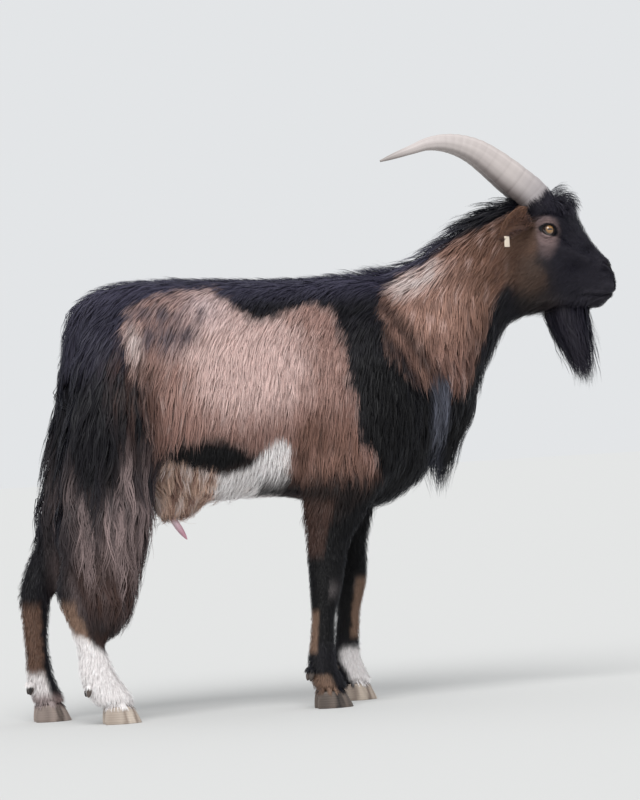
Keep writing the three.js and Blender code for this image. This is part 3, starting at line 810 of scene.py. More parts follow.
def swept(sections):
    """A closed form through rings of points."""
    shape = bmesh.new()
    rings = []
    for section in sections:
        circle = bmesh.ops.create_circle(shape, segments=len(section), radius=1)["verts"]
        for vertex, place in zip(circle, section):
            vertex.co = place
        rings.append(list({edge for vertex in circle for edge in vertex.link_edges}))
    for low, high in zip(rings, rings[1:]):
        bmesh.ops.bridge_loops(shape, edges=low + high)
    for end in (rings[0], rings[-1]):
        bmesh.ops.edgenet_fill(shape, edges=end)
    bmesh.ops.recalc_face_normals(shape, faces=shape.faces)
    return shape


# %% Eyeballs
IRIS = linear((146, 106, 58))
IRIS_RIM = linear((52, 34, 20))
PUPIL = linear((8, 7, 8))
PUPIL_TILT = math.radians(13)
eye_gloss = painted("wet_eye", 0.12, attribute="colour", coat=1.0)
for side_name, side in SIDES.items():
    ball = bmesh.new()
    bmesh.ops.create_uvsphere(ball, u_segments=96, v_segments=64, radius=1)
    directions = unit(points_of(ball))
    ahead, up, out = directions[:, 0], directions[:, 1], directions[:, 2]
    swell = 1 + 0.05 * np.exp(-((1 - out) / 0.16) ** 2)
    left = EYE_CENTRE + EYE_RADIUS * swell[:, None] * (
        ahead[:, None] * EYE_AHEAD + up[:, None] * EYE_UP + out[:, None] * EYE_OUT)
    left[:, 1] *= side
    move_points(ball, bent(left, rigid=True))
    bmesh.ops.recalc_face_normals(ball, faces=ball.faces)
    eyeball = add_piece(f"eyeball_{side_name}", ball, eye_gloss, "eye", f"eye_{side_name}")
    from_middle = np.sqrt(ahead ** 2 + up ** 2) + (out < 0)
    level_ahead = ahead * math.cos(PUPIL_TILT) + up * math.sin(PUPIL_TILT)
    level_up = up * math.cos(PUPIL_TILT) - ahead * math.sin(PUPIL_TILT)
    slit = ((np.abs(level_ahead) / 0.38) ** 4 + (np.abs(level_up) / 0.12) ** 4) ** 0.25
    spokes = 0.82 + 0.25 * np.sin(np.arctan2(up, ahead) * 23 + 2 * np.sin(np.arctan2(up, ahead) * 7)) ** 2
    iris = IRIS * (spokes * (1.15 - 0.5 * from_middle))[:, None]
    colours = iris + (IRIS_RIM - iris) * smoothstep(0.50, 0.66, from_middle)[:, None]
    colours += (PUPIL - colours) * smoothstep(1.12, 0.92, slit)[:, None]
    colours += (linear((34, 26, 24)) - colours) * smoothstep(0.68, 0.8, from_middle)[:, None]
    colour_points(eyeball.data, np.clip(colours, 0.001, 1))
print("Two eyeballs of", EYE_RADIUS * 2, "mm")

# %% Horns
HORN_LINE = np.array([
    (487, 23, 972), (464, 26, 1011), (438, 31, 1036), (412, 36, 1059), (384, 42, 1083), (354, 48, 1105),
    (321, 53, 1120), (286, 59, 1127), (252, 64, 1125), (222, 70, 1116), (190, 76, 1106), (152, 83, 1094),
], float)
HORN_GIRTH = np.array([
    (0, 32, 20), (0.10, 33, 20), (0.27, 31, 19), (0.36, 28, 17), (0.46, 24, 15), (0.55, 20, 13),
    (0.64, 16, 11), (0.73, 12.5, 9), (0.82, 9.5, 7), (0.91, 7, 5.5), (0.97, 4.2, 3.6), (1, 1.5, 1.4),
])
# The left horn is a little shorter and stands a little higher and closer
HORN_DIFFERENCE = {"left": (0.955, 0.80, 9.0, 0.9), "right": (1.0, 1.0, 0.0, 1.0)}
HORN_RINGS = 150
HORN_POINTS = 36
HORN_PALE = linear((186, 177, 174))
HORN_FOOT = linear((150, 144, 146))
HORN_SHADE = linear((92, 82, 80))
HORN_TIP = linear((128, 120, 116))
horn_gloss = painted("horn_keratin", 0.42, attribute="colour", specular=0.45)
for side_name, side in SIDES.items():
    share, closer, lift, slimmer = HORN_DIFFERENCE[side_name]
    t = np.linspace(0, 1, HORN_RINGS)
    centre = curve_through(HORN_LINE, t * share)
    centre[:, 1] = centre[0, 1] + (centre[:, 1] - centre[0, 1]) * closer
    centre[:, 2] += lift * t
    ahead = unit(np.gradient(centre, axis=0))
    wide = unit(np.array([0, 1.0, 0]) - ahead * ahead[:, 1:2])
    inner = np.cross(ahead, wide)
    high = np.interp(t, HORN_GIRTH[:, 0], HORN_GIRTH[:, 1])
    thick = np.interp(t, HORN_GIRTH[:, 0], HORN_GIRTH[:, 2])
    high, thick = smoothed_row(high, 6), smoothed_row(thick, 6)
    high = high * (1 + (slimmer - 1) * t)
    travelled = np.concatenate([[0], np.cumsum(np.linalg.norm(np.diff(centre, axis=0), axis=1))])
    growth = 20 * (travelled / 420) ** 0.85 + 0.8 * np.sin(travelled / 37)
    ridge = 0.85 * (np.abs(np.sin(growth * math.pi)) ** 0.6 - 0.5) * smoothstep(1.0, 0.35, t)
    fine = 0.18 * np.sin(travelled * 1.9) * smoothstep(1.0, 0.5, t)
    angle = np.linspace(0, 2 * math.pi, HORN_POINTS, endpoint=False)
    front = np.maximum(-np.sin(angle), 0)
    across = np.cos(angle) * (1 - 0.22 * front ** 2)
    keel = 1 + 0.05 * front ** 6
    grooves = 0.35 * np.sin(angle * 9 + 1.3)
    sections = []
    for k in range(HORN_RINGS):
        grow = (ridge[k] + fine[k]) * (0.55 + 0.45 * front) + grooves * smoothstep(1.0, 0.4, t[k])
        section = centre[k] + inner[k] * ((high[k] + grow) * np.sin(angle) * keel)[:, None]
        section = section + wide[k] * ((thick[k] + grow) * across)[:, None]
        section[:, 1] *= side
        sections.append(bent(section, rigid=True))
    node = f"horn_{side_name}"
    horn_piece = add_piece(f"{node}_ridged", swept(sections), horn_gloss, "horn", node)
    under = np.tile(np.maximum(np.sin(angle), 0), HORN_RINGS)
    place_along = np.repeat(t, HORN_POINTS)
    in_ring = np.repeat(ridge, HORN_POINTS)
    # Painted shade: darker on the underside of the horn towards its foot, and in the hollows between the
    # ridges.
    dark = smoothstep(0.1, 0.9, under) * smoothstep(0.75, 0.1, place_along) * 0.9
    dark = dark + smoothstep(0.1, -0.4, in_ring) * 0.22 * (1 - place_along)
    streak = 0.10 * wobble_row(np.tile(angle, HORN_RINGS) * 6 + place_along * 3, 5)
    colours = HORN_PALE * (1 + streak)[:, None]
    colours += (HORN_FOOT - colours) * smoothstep(0.3, 0.0, place_along)[:, None]
    colours += (HORN_SHADE - colours) * np.clip(dark, 0, 1)[:, None]
    colours += (HORN_TIP - colours) * smoothstep(0.82, 1.0, place_along)[:, None] * 0.7
    colour_points(horn_piece.data, np.clip(colours, 0.01, 1))
print("Horns of", round(travelled[-1]), "mm along the curve")

# %% Claws
CLAW_POINTS = 40
# Height from 0 to 1, heel moved forward, toe moved back and half width as shares of the length
CLAW_LEVELS = np.array([
    (0.0, 0.012, 0.010, 0.205), (0.03, 0.0, 0.0, 0.215), (0.12, -0.012, 0.012, 0.222),
    (0.35, -0.008, 0.062, 0.222), (0.6, 0.004, 0.118, 0.218), (0.82, 0.025, 0.175, 0.210),
    (0.93, 0.05, 0.21, 0.198), (1.0, 0.11, 0.27, 0.165),
])
CLAW_RINGS = 32
claw_finish = painted("claw_keratin", 0.62, attribute="colour", specular=0.3)


def claw_colours(places, shades, seed):
    """Dark and pale bands up and down the wall, with fine growth lines."""
    pale, dark = linear(shades[0]), linear(shades[1])
    around = wobble_row(places[:, 0] * 160 + places[:, 1] * 310 + seed, 4)
    lines = 0.08 * np.sin(places[:, 2] * 2300 + 1.5 * around)
    mix = smoothstep(-0.8, 1.1, around)[:, None]
    return (pale + (dark - pale) * mix) * (1 + lines)[:, None]


def claw_outline(node, inner_side, angle, level):
    """Places round the wall of a claw, at each angle and height from 0 to 1, in metres."""
    low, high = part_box(node)
    length = high.x - low.x
    heel_in, toe_in, half = (np.interp(level, CLAW_LEVELS[:, 0], CLAW_LEVELS[:, k]) for k in (1, 2, 3))
    back, front = low.x + heel_in * length, high.x - toe_in * length
    ahead = np.maximum(np.cos(angle), 0)
    pinch = half * length * (1 - 0.38 * ahead ** 2)
    flat_inside = np.where(np.sin(angle) * inner_side > 0, 0.86, 1.06)
    ring = 0.003 * length * np.sin(level * 44)
    x = (back + front) / 2 + ((front - back) / 2 + ring) * np.cos(angle)
    bend = inner_side * 0.045 * length * ahead ** 1.5
    y = (low.y + high.y) / 2 + bend + (pinch * flat_inside + ring) * np.sin(angle)
    return np.stack([x, y, low.z + level * (high.z - low.z)], 1)


# The pale and the dark shade of the claws of each foot: pale feet have pale claws
FEET = {
    "fore_left": ((188, 174, 160), (112, 98, 90)),
    "fore_right": ((104, 93, 86), (46, 42, 41)),
    "hind_left": ((152, 138, 130), (84, 74, 69)),
    "hind_right": ((200, 187, 174), (138, 123, 112)),
}
TOES = {"inner": 1, "outer": -1}
DEWCLAW_SHADES = ((92, 82, 76), (40, 37, 36))
for number, (foot, shades) in enumerate(FEET.items()):
    foot_sign = 1 if foot.endswith("left") else -1
    for toe, toe_sign in TOES.items():
        node = f"{foot}_claw_{toe}"
        angle = np.linspace(0, 2 * math.pi, CLAW_POINTS, endpoint=False)
        levels = np.sort(np.concatenate([np.linspace(0, 1, CLAW_RINGS), [0.01, 0.985]]))
        inner_side = foot_sign * toe_sign
        walls = [claw_outline(node, inner_side, angle, np.full(CLAW_POINTS, level)) for level in levels]
        piece = add_piece(f"{node}_wall", swept(walls), claw_finish, "hoof", node)
        colour_points(piece.data, claw_colours(places_of(piece.data), shades, number * 2 + toe_sign))
        node = f"{foot}_dewclaw_{toe}"
        low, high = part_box(node)
        nub = bmesh.new()
        bmesh.ops.create_uvsphere(nub, u_segments=28, v_segments=20, radius=1)
        around = points_of(nub)
        size = (np.array(high) - low) / 2 * 0.8
        tilt = around * [0.62, 0.95, 0.98]
        tilt[:, 0] += 0.38 * around[:, 2]
        tilt[:, :2] *= (1 - 0.22 * np.maximum(-around[:, 2:3], 0))
        move_points(nub, (np.array(high) + low) / 2 + tilt * size)
        piece = add_piece(f"{node}_wall", nub, claw_finish, "hoof", node)
        colour_points(piece.data, claw_colours(places_of(piece.data), DEWCLAW_SHADES, number))
print("Eight claws and eight dewclaws stand on", len(FEET), "feet")

# %% Ear tag and the tip of the sheath
def rounded_copy(node, width, segments):
    """A merged copy of a node with its edges rounded."""
    shape = bmesh.new()
    shape.from_mesh(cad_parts[node].data)
    bmesh.ops.remove_doubles(shape, verts=shape.verts, dist=MERGE)
    bmesh.ops.dissolve_limit(shape, angle_limit=math.radians(2), verts=shape.verts, edges=shape.edges)
    everything = shape.edges[:] + shape.verts[:]
    bmesh.ops.bevel(
        shape, geom=everything, offset=width, segments=segments, affect="EDGES", profile=0.5, material=-1)
    return shape


tag_plastic = painted("tag_plastic", 0.4, colour=linear((222, 208, 190)))
add_piece("tag", rounded_copy("ear_tag", 0.0011, 3), tag_plastic, "tag", "ear_tag")
bare_skin = painted("bare_skin", 0.3, attribute="colour", coat=0.3)
TIP_TOP = linear((228, 202, 210))
TIP_END = linear((202, 148, 164))
tip = bmesh.new()
bmesh.ops.create_uvsphere(tip, u_segments=32, v_segments=24, radius=1)
low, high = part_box("sheath_tip")
tip_top = np.array([low.x + 0.008, (low.y + high.y) / 2, high.z - 0.004])
tip_foot = np.array([high.x - 0.004, (low.y + high.y) / 2, low.z + 0.004])
sheath_line = tip_foot - tip_top
sheath_side = unit(np.cross(sheath_line, [0, 1, 0]))
around = points_of(tip)
down = (1 - around[:, 2]) / 2
girth = 0.0078 * (1 - 0.45 * down ** 2)
forwards = (girth * around[:, 0])[:, None] * sheath_side
sideways = (girth * around[:, 1])[:, None] * [0, 1, 0]
move_points(tip, tip_top + down[:, None] * sheath_line + forwards + sideways)
bmesh.ops.recalc_face_normals(tip, faces=tip.faces)
tip_piece = add_piece("bare_tip", tip, bare_skin, "skin", "sheath_tip")
colour_points(tip_piece.data, TIP_TOP + (TIP_END - TIP_TOP) * smoothstep(0.2, 0.8, down)[:, None])
print("Tag and tip are in place")

# %% [markdown]
# ## The markings
#
# Skin and hair share one description of the colours, so both always agree: a black coat, a tan
# patch on each flank, a brown neck, a white belly band, brown elbows and pale feet. It also holds
# painted light: a bluish sheen on the black of the back, the crest, the rump, the face and the
# chest tassel, and painted shade in the fold of the flank, on the chest, on the forelegs and on
# the lower part of the ears. Each patch is an outline of a few points seen from the side, with a
# soft and slightly ragged edge. The description is a function of the place on the straight goat,
# so a lock that hangs over an edge carries its colour with it, as real hair does.

# %% Paints and outlines
PAINTS = {
    "black": (18, 16, 21),
    # The two lighter blacks and the chest grey below are painted sheen on black hair; deep black also serves
    # as painted shade.
    "sheen blue black": (62, 59, 77),
    "face sheen black": (37, 34, 43),
    "deep black and shade": (9, 8, 9),
    "chest sheen grey": (92, 94, 106),
    "tan": (214, 186, 179),
    "pale tan": (222, 204, 204),
    "grey tan": (150, 129, 126),
    "warm tan": (166, 132, 122),
    "chestnut": (126, 92, 82),
    "russet": (102, 71, 55),
    "elbow brown": (124, 92, 80),
    "dark brown": (78, 56, 48),
    "neck brown": (166, 129, 114),
    "cream": (215, 201, 197),
    "white": (246, 241, 240),
    "grey brown": (136, 118, 116),
    "patch grey": (94, 82, 87),
    "cheek brown": (106, 80, 66),
    "eye patch": (146, 124, 122),
    "olive": (58, 48, 42),
    "leg tan": (142, 114, 96),
    "honey": (214, 180, 160),
    "callus": (96, 90, 90),
    "ear brown": (112, 80, 62),
    "pad": (34, 31, 34),
}
PAINTS = {name: linear(colour) for name, colour in PAINTS.items()}


def rounded(corners, steps=5):
    """A closed outline through the corners, rounded by Catmull-Rom spans."""
    p = np.array(corners, float)
    before, after, beyond = np.roll(p, 1, 0), np.roll(p, -1, 0), np.roll(p, -2, 0)
    spans = []
    for t in np.arange(steps) / steps:
        spans.append(0.5 * (2 * p + (after - before) * t + (2 * before - 5 * p + 4 * after - beyond) * t ** 2
                            + (3 * p - before - 3 * after + beyond) * t ** 3))
    return np.stack(spans, 1).reshape(-1, 2)


# Outlines in millimetres: x towards the head, z up.
FLANK = rounded([
    (-398, 816), (-360, 832), (-318, 844), (-262, 850), (-216, 840), (-182, 812), (-160, 788),
    (-138, 780), (-100, 786), (-72, 799), (-35, 806), (2, 802), (22, 740), (36, 640), (50, 535),
    (70, 470), (20, 440), (-60, 440), (-112, 482), (-168, 522), (-228, 541), (-280, 548), (-325, 545),
    (-362, 538), (-372, 585), (-380, 640), (-402, 690), (-418, 730), (-408, 780),
])
# The outline of the painted shadow in the fold of the flank.
FLANK_FOLD_SHADOW = rounded([
    (-354, 522), (-313, 538), (-272, 544), (-220, 536), (-178, 521), (-142, 509), (-178, 497),
    (-219, 486), (-270, 486), (-312, 500),
])
GREY_PATCH = rounded([
    (-396, 812), (-345, 838), (-300, 824), (-262, 780), (-286, 732), (-340, 716), (-378, 750),
])
ELBOW = rounded([
    (20, 620), (40, 540), (60, 490), (84, 448), (62, 424), (38, 408), (14, 384), (-16, 380), (-46, 392),
    (-76, 376), (-86, 420), (-96, 480), (-90, 540), (-40, 600),
])
BELLY_BAND = rounded([
    (-285, 468), (-245, 473), (-205, 480), (-172, 494), (-146, 518), (-118, 540), (-100, 518), (-98, 460),
    (-104, 380), (-160, 370), (-285, 370),
])
SHEATH_TUFT = rounded([
    (-345, 510), (-300, 508), (-262, 490), (-242, 462), (-240, 380), (-350, 380),
])
NECK = rounded([
    (120, 812), (136, 834), (152, 848), (178, 862), (204, 872), (234, 884), (256, 903), (290, 922),
    (331, 941), (372, 952), (405, 968), (440, 960), (425, 900), (405, 850), (380, 820), (360, 780),
    (344, 741), (329, 701), (314, 660), (296, 632), (276, 610), (252, 622), (228, 644), (200, 632),
    (170, 642), (138, 668), (120, 705), (112, 760),
])
CREAM = rounded([
    (128, 832), (150, 858), (182, 876), (222, 890), (252, 888), (244, 858), (216, 832), (182, 816),
    (146, 812),
])
CHEEK = rounded([
    (400, 930), (440, 925), (455, 900), (462, 862), (478, 830), (455, 810), (420, 815), (392, 850),
])
EYE_PATCH = rounded([
    (468, 956), (488, 964), (507, 952), (508, 925), (501, 900), (486, 882), (470, 890), (463, 925),
])


def within(outline, x, z, soft):
    """1 inside the outline, 0 outside it, with an edge about twice soft wide."""
    ends = np.roll(outline, -1, 0)
    nearest = np.full(len(x), np.inf)
    inside = np.zeros(len(x), bool)
    for (ax, az), (bx, bz) in zip(outline, ends):
        t = np.clip(((x - ax) * (bx - ax) + (z - az) * (bz - az)) / ((bx - ax) ** 2 + (bz - az) ** 2), 0, 1)
        nearest = np.minimum(nearest, (x - ax - t * (bx - ax)) ** 2 + (z - az - t * (bz - az)) ** 2)
        if az != bz:
            crosses = (az > z) != (bz > z)
            inside ^= crosses & (x < (bx - ax) * (z - az) / (bz - az) + ax)
    distance = np.sqrt(nearest) * np.where(inside, 1, -1)
    return smoothstep(-soft, soft, distance)


WAVES = 7


def wobble(places, size, seed):
    """A smooth random value about from -1 to 1 that changes over roughly size millimetres."""
    draw = np.random.RandomState(seed)
    total = np.zeros(len(places))
    for _ in range(WAVES):
        direction = draw.normal(size=3)
        direction *= 2 * math.pi / size / np.linalg.norm(direction) * draw.uniform(0.6, 1.4)
        total += np.sin(places @ direction + draw.uniform(0, 2 * math.pi))
    return total / math.sqrt(WAVES) * 1.1


print(len(PAINTS), "paints and the outlines of the patches are ready")

# %% Where the legs stand, for their markings
FORELEG_AXIS = np.array([
    (24, -19), (50, -32), (86, -46), (130, -42), (185, -36), (245, -27), (312, -22), (376, -7), (442, 17),
    (520, 48),
])
HIND_AXIS = {
    "right": np.array([
        (30, -462), (63, -485), (99, -503), (149, -511), (205, -525), (265, -540), (315, -528),
    ]),
    "left": np.array([
        (30, -568), (57, -578), (93, -588), (149, -591), (208, -590), (273, -586), (323, -566),
    ]),
}
FORE_STRIDE = 90


def ahead_of_leg(straight):
    """How far a point lies ahead of the axis of its own foreleg and of its own hind leg."""
    x, y, z = straight.T
    left = y > 0
    stride = np.where(left, FORE_STRIDE * smoothstep(0, 400, 640 - z), 0)
    fore = x - np.interp(z, *FORELEG_AXIS.T) - stride
    hind = x - np.where(left, np.interp(z, *HIND_AXIS["left"].T), np.interp(z, *HIND_AXIS["right"].T))
    return fore, hind


# %% One description of all the markings
def markings(straight):
    """The colour of the coat at straight places, as linear red, green and blue."""
    x, y, z = straight.T
    right = y < 0
    ragged = 5 * wobble(straight, 45, 1) + 3 * wobble(straight, 16, 2)
    streaky = wobble(straight * [1, 1, 0.22], 22, 3)
    fine = wobble(straight * [1, 1, 0.3], 9, 4)
    colour = np.tile(PAINTS["black"], (len(x), 1)) * (1 + 0.25 * streaky[:, None])

    def lay(paint, amount):
        colour[:] += (PAINTS[paint] - colour) * np.clip(amount, 0, 1)[:, None]

    edge_x, edge_z = x + ragged, z + ragged * 0.8
    fore, hind = ahead_of_leg(straight)

    # Painted sheen: a lighter bluish black on the top of the back and the crest.
    lay("sheen blue black", smoothstep(800, 855, z - 0.3 * np.maximum(x - 180, 0)) * smoothstep(330, 190, x) * 0.95)
    # Painted sheen: the whole head gets a lighter bluish black.
    lay("face sheen black", smoothstep(440, 500, x))
    # Painted sheen: a lighter bluish black on the rump.
    lay("sheen blue black", smoothstep(-370, -420, x) * smoothstep(640, 760, z) * 0.55)
    # Painted shade: darker black on the chest and the front below the neck.
    lay("deep black and shade", smoothstep(20, 90, x) * smoothstep(760, 640, z) * (x < 330))

    around = rounded([(-455, 700), (-400, 760), (-370, 640), (-350, 540), (-400, 520), (-440, 600)])
    lay("dark brown", within(around, edge_x, edge_z, 28) * (0.3 + 0.3 * streaky))
    flank = within(FLANK, edge_x, edge_z, 9)
    lay("tan", flank)
    off_middle = np.hypot((x + 172) / 152, (z - 700) / 150)
    lay("warm tan", flank * smoothstep(0.5, 1.1, off_middle + 0.1 * streaky))
    lay("pale tan", flank * np.exp(-((x + 245) / 52) ** 2 - ((z - 815) / 44) ** 2) * 0.62)
    lay("chestnut", flank * smoothstep(-240, -390, x) * smoothstep(740, 600, z) * 0.75)
    lay("chestnut", flank * smoothstep(625, 545, z + 8 * streaky) * 0.45)
    lay("chestnut", flank * smoothstep(15, 50, x - 0.25 * (z - 700)) * 0.7)
    lay("dark brown", flank * smoothstep(0, 40, x) * smoothstep(670, 730, z) * 0.6)
    grey = within(GREY_PATCH, x + 2 * ragged, z + 2 * ragged, 22) * flank
    lay("patch grey", grey * (0.72 + 0.25 * streaky))
    lay("patch grey", flank * smoothstep(-360, -395, x) * smoothstep(785, 815, z) * 0.6)
    rear_edge = smoothstep(-322, -378, x + 3 * streaky) * smoothstep(735, 670, z)
    lay("dark brown", flank * rear_edge * 0.85)
    # Painted shadow in the fold of the flank: a soft dark brown edge round a black middle.
    lay("dark brown", within(FLANK_FOLD_SHADOW, edge_x, edge_z, 32) * 0.9)
    lay("deep black and shade", within(FLANK_FOLD_SHADOW, edge_x, edge_z, 14))
    lay("cream", flank * np.exp(-((x + 400) / 16) ** 2 - ((z - 740) / 36) ** 2) * 0.85)
    lay("dark brown", flank * smoothstep(0.6, 1.6, fine) * 0.12)
    lay("cream", flank * smoothstep(0.6, 1.6, -fine) * 0.15)

    elbow = within(ELBOW, edge_x, edge_z, 10) * smoothstep(640, 520, z + 0.5 * x)
    lay("elbow brown", elbow * (np.abs(y) > 50))
    lay("dark brown", elbow * smoothstep(0.1, 1.2, streaky + (470 - z) / 130) * 0.6)
    lay("warm tan", elbow * smoothstep(0.6, 1.5, -streaky) * 0.4)

    belly = within(BELLY_BAND, x + ragged * 0.5, z + ragged * 0.4, 7)
    lay("white", belly)
    lay("honey", belly * smoothstep(0.8, 1.6, streaky) * 0.35)
    tuft = within(SHEATH_TUFT, edge_x, edge_z, 9) * (np.abs(y) < 110)
    lay("honey", tuft)
    lay("chestnut", tuft * smoothstep(0.1, 1.0, streaky) * 0.85)
    lay("cream", tuft * smoothstep(0.2, 1.1, -streaky) * 0.8)

    neck = within(NECK, edge_x, edge_z, 9)
    lay("neck brown", neck)
    lay("russet", neck * smoothstep(240, 370, x + 0.2 * (z - 800)) * 0.85)
    lay("chestnut", neck * smoothstep(770, 650, z) * 0.8)
    lay("dark brown", neck * smoothstep(0.3, 1.3, streaky) * 0.5)
    lay("dark brown", neck * smoothstep(730, 640, z) * 0.3)
    lay("cream", within(CREAM, edge_x, edge_z, 20) * neck * (0.8 + 0.2 * streaky))
    lay("tan", neck * smoothstep(0.5, 1.4, -streaky) * 0.35)
    # The neck's lower edge sweeps down and forwards, dark with one paler lock
    sweep = 0.848 * (x - 122) + 0.536 * (z - 800) + ragged * 0.6
    lay("dark brown", neck * smoothstep(34, 6, sweep) * 0.8)
    lay("dark brown", neck * smoothstep(265, 330, x) * smoothstep(790, 700, z) * 0.5)
    lay("deep black and shade", neck * np.exp(-((sweep + 1) / 6) ** 2) * 0.45)
    lay("neck brown", neck * np.exp(-((sweep + 18) / 7) ** 2) * 0.4)
    lay("black", neck * smoothstep(-24, -46, sweep) * 0.9)

    lay("cheek brown", within(CHEEK, x + ragged * 0.5, z + ragged * 0.5, 16) * 0.9)
    lay("olive", within(CHEEK + [30, -50], x, z, 26) * 0.6)
    pale = within(EYE_PATCH, x + ragged * 0.3, z + ragged * 0.3, 12) * (np.abs(y) > 25)
    lay("eye patch", pale * (0.45 + 0.5 * smoothstep(890, 925, z)))

    locks = wobble(straight * [1, 1, 0.06], 15, 5)
    # Painted sheen: bluish grey streaks down the front of the black chest tassel.
    tassel = np.exp(-((x - 231) / 22) ** 4) * smoothstep(430, 560, z) * smoothstep(652, 628, z)
    lay("chest sheen grey", tassel * (0.85 + 0.3 * streaky))

    uneven_z = z + 45 * wobble(straight * [1, 1, 0.1], 60, 6)
    breeches = smoothstep(-290, -345, x) * smoothstep(535, 395, uneven_z)
    breeches = breeches * (z > 120) * smoothstep(-580, -510, x) * smoothstep(45, 75, np.abs(y))
    palest = np.exp(-((x + 450) / 62) ** 2 - ((z - 392) / 72) ** 2)
    lay("grey brown", breeches * (0.5 + 0.5 * palest + 0.4 * locks) * smoothstep(150, 330, z))
    lay("dark brown", breeches * (0.35 - 0.3 * locks) * smoothstep(400, 280, z))

    temple = smoothstep(474, 456, x) * (x > 400) * smoothstep(974, 950, z) * smoothstep(880, 905, z)
    lay("cheek brown", temple * smoothstep(30, 46, np.abs(y)) * 0.85)
    ear = smoothstep(60, 76, np.abs(y) + ragged * 0.4) * smoothstep(470, 452, x) * (x > 360) * (z > 880)
    lay("ear brown", ear)
    # Painted shade: the lower part of the ear is darker brown.
    lay("dark brown", ear * smoothstep(8, -4, z - (1010 - 0.66 * np.abs(y))) * 0.7)
    left = to_the_left(straight)
    q, far, _, _ = across_opening(left)
    lay("black", smoothstep(1.75, 1.4, q) * (far < 1.8))
    lay("pad", smoothstep(11, 7, distance_to_line(left, [(628, 0, 850), (618, 16, 858)])))

    forelegs = (x > -150) * (x < 250) * (np.abs(y) > 40)
    # Painted shade: darker black on the forelegs from the cannons up to the elbows.
    lay("deep black and shade", smoothstep(490, 430, z) * smoothstep(110, 150, z) * forelegs * 0.95)
    about_fore = (x > -150) * (x < 200)
    rear = smoothstep(-8, -18, fore + ragged * 0.3) * about_fore
    lay("dark brown", rear * smoothstep(290, 320, z) * smoothstep(440, 400, z) * 0.8)
    near_fore = right * (x > -150) * (x < 150)
    cannon = smoothstep(105, 120, z) * smoothstep(205, 185, z)
    lay("leg tan", near_fore * smoothstep(-10, -17, fore) * cannon * 0.9)
    lay("leg tan", near_fore * smoothstep(10, -4, fore) * smoothstep(74, 62, z) * 0.8)
    knee = np.exp(-((np.abs(fore) - 8) / 14) ** 2 - ((z - 236) / 16) ** 2) * (fore > 0)
    lay("callus", knee * about_fore * 0.8)
    far_fore = ~right * (x > -100) * (x < 200)
    shin = smoothstep(120, 140, z) * smoothstep(262, 240, z)
    lay("leg tan", far_fore * smoothstep(-4, 8, fore + ragged * 0.4) * shin)
    lay("white", far_fore * smoothstep(-22, -10, fore + ragged * 0.3) * smoothstep(118, 98, z + ragged * 0.5))

    near_hind = right * (x < -380)
    shank = smoothstep(255, 232, z) * (z > 120)
    lay("leg tan", near_hind * smoothstep(4, -8, hind + ragged * 0.4) * shank * 0.9)
    lay("white", near_hind * smoothstep(176, 150, z + 0.8 * hind + ragged * 0.6))
    far_hind = ~right * (x < -400)
    lay("cheek brown", far_hind * smoothstep(14, 4, hind + ragged * 0.4) * smoothstep(252, 222, z))
    lay("white", far_hind * smoothstep(14, 0, hind) * smoothstep(112, 90, z + ragged * 0.4) * 0.9)
    lay("grey tan", far_hind * smoothstep(64, 44, z) * 0.8)
    return np.clip(colour, 0.002, 1)


sample = markings(np.array([[-100.0, 150.0, 650.0], [300.0, -95.0, 800.0]]))
print("Flank and neck are", sample.round(3).tolist())

# %% [markdown]
# ## A place on the skin for every tuft's colours
#
# When the finished goat is handed on, its colours are baked to one picture, and each tuft needs a
# small patch of that picture of its own. The patches lie where the tuft's root lies on an unwrap
# of the skin. A coarse copy of the skin unwraps into a few hundred islands in a moment.

# %% Unwrapping a coarse copy of the skin
COARSE_VOXEL = 0.022
PATCH = 0.003


def unwrapped(source):
    """A coarse triangle copy of the mesh, unwrapped: its tree, corners and UVs for each triangle."""
    shape = bmesh.new()
    shape.from_mesh(source)
    coarse = remeshed(shape, COARSE_VOXEL)
    thing = link(bpy.data.objects.new("coarse", coarse))
    bpy.context.view_layer.objects.active = thing
    thing.select_set(True)
    bpy.ops.object.mode_set(mode="EDIT")
    bpy.ops.mesh.select_all(action="SELECT")
    bpy.ops.mesh.quads_convert_to_tris()
    bpy.ops.uv.smart_project(angle_limit=math.radians(66), island_margin=0.004)
    bpy.ops.object.mode_set(mode="OBJECT")
    places = places_of(coarse)
    count = len(coarse.polygons)
    corners = np.empty(count * 3, np.int32)
    coarse.polygons.foreach_get("vertices", corners)
    uv = np.empty(count * 6, np.float32)
    coarse.uv_layers.active.data.foreach_get("uv", uv)
    corners = places[corners.reshape(-1, 3)]
    tree = BVHTree.FromPolygons(places.tolist(), [list(p.vertices) for p in coarse.polygons])
    bpy.data.objects.remove(thing)
    return tree, corners, uv.reshape(-1, 3, 2).astype(float)


def nearest(tree, places):
    """For each place the nearest point on the surface, the normal there and the face."""
    found = [tree.find_nearest(place) for place in places.tolist()]
    points = np.array([f[0] for f in found])
    normals = np.array([f[1] for f in found])
    return points, normals, np.array([f[2] for f in found])


unwrap_tree, unwrap_corners, unwrap_uv = unwrapped(skin_mesh)


def bake_places(places):
    """The UV of each place on the unwrap of the skin."""
    points, _, faces = nearest(unwrap_tree, places)
    a, b, c = unwrap_corners[faces].transpose(1, 0, 2)
    ab, ac, ap = b - a, c - a, points - a
    d00, d01, d11 = (ab * ab).sum(1), (ab * ac).sum(1), (ac * ac).sum(1)
    d20, d21 = (ap * ab).sum(1), (ap * ac).sum(1)
    scale = np.maximum(d00 * d11 - d01 * d01, 1e-18)
    v = np.clip((d11 * d20 - d01 * d21) / scale, 0, 1)
    w = np.clip((d00 * d21 - d01 * d20) / scale, 0, 1)
    u = 1 - v - w
    uv = unwrap_uv[faces]
    return uv[:, 0] * u[:, None] + uv[:, 1] * v[:, None] + uv[:, 2] * w[:, None]


print("The coarse skin has", len(unwrap_corners), "triangles")
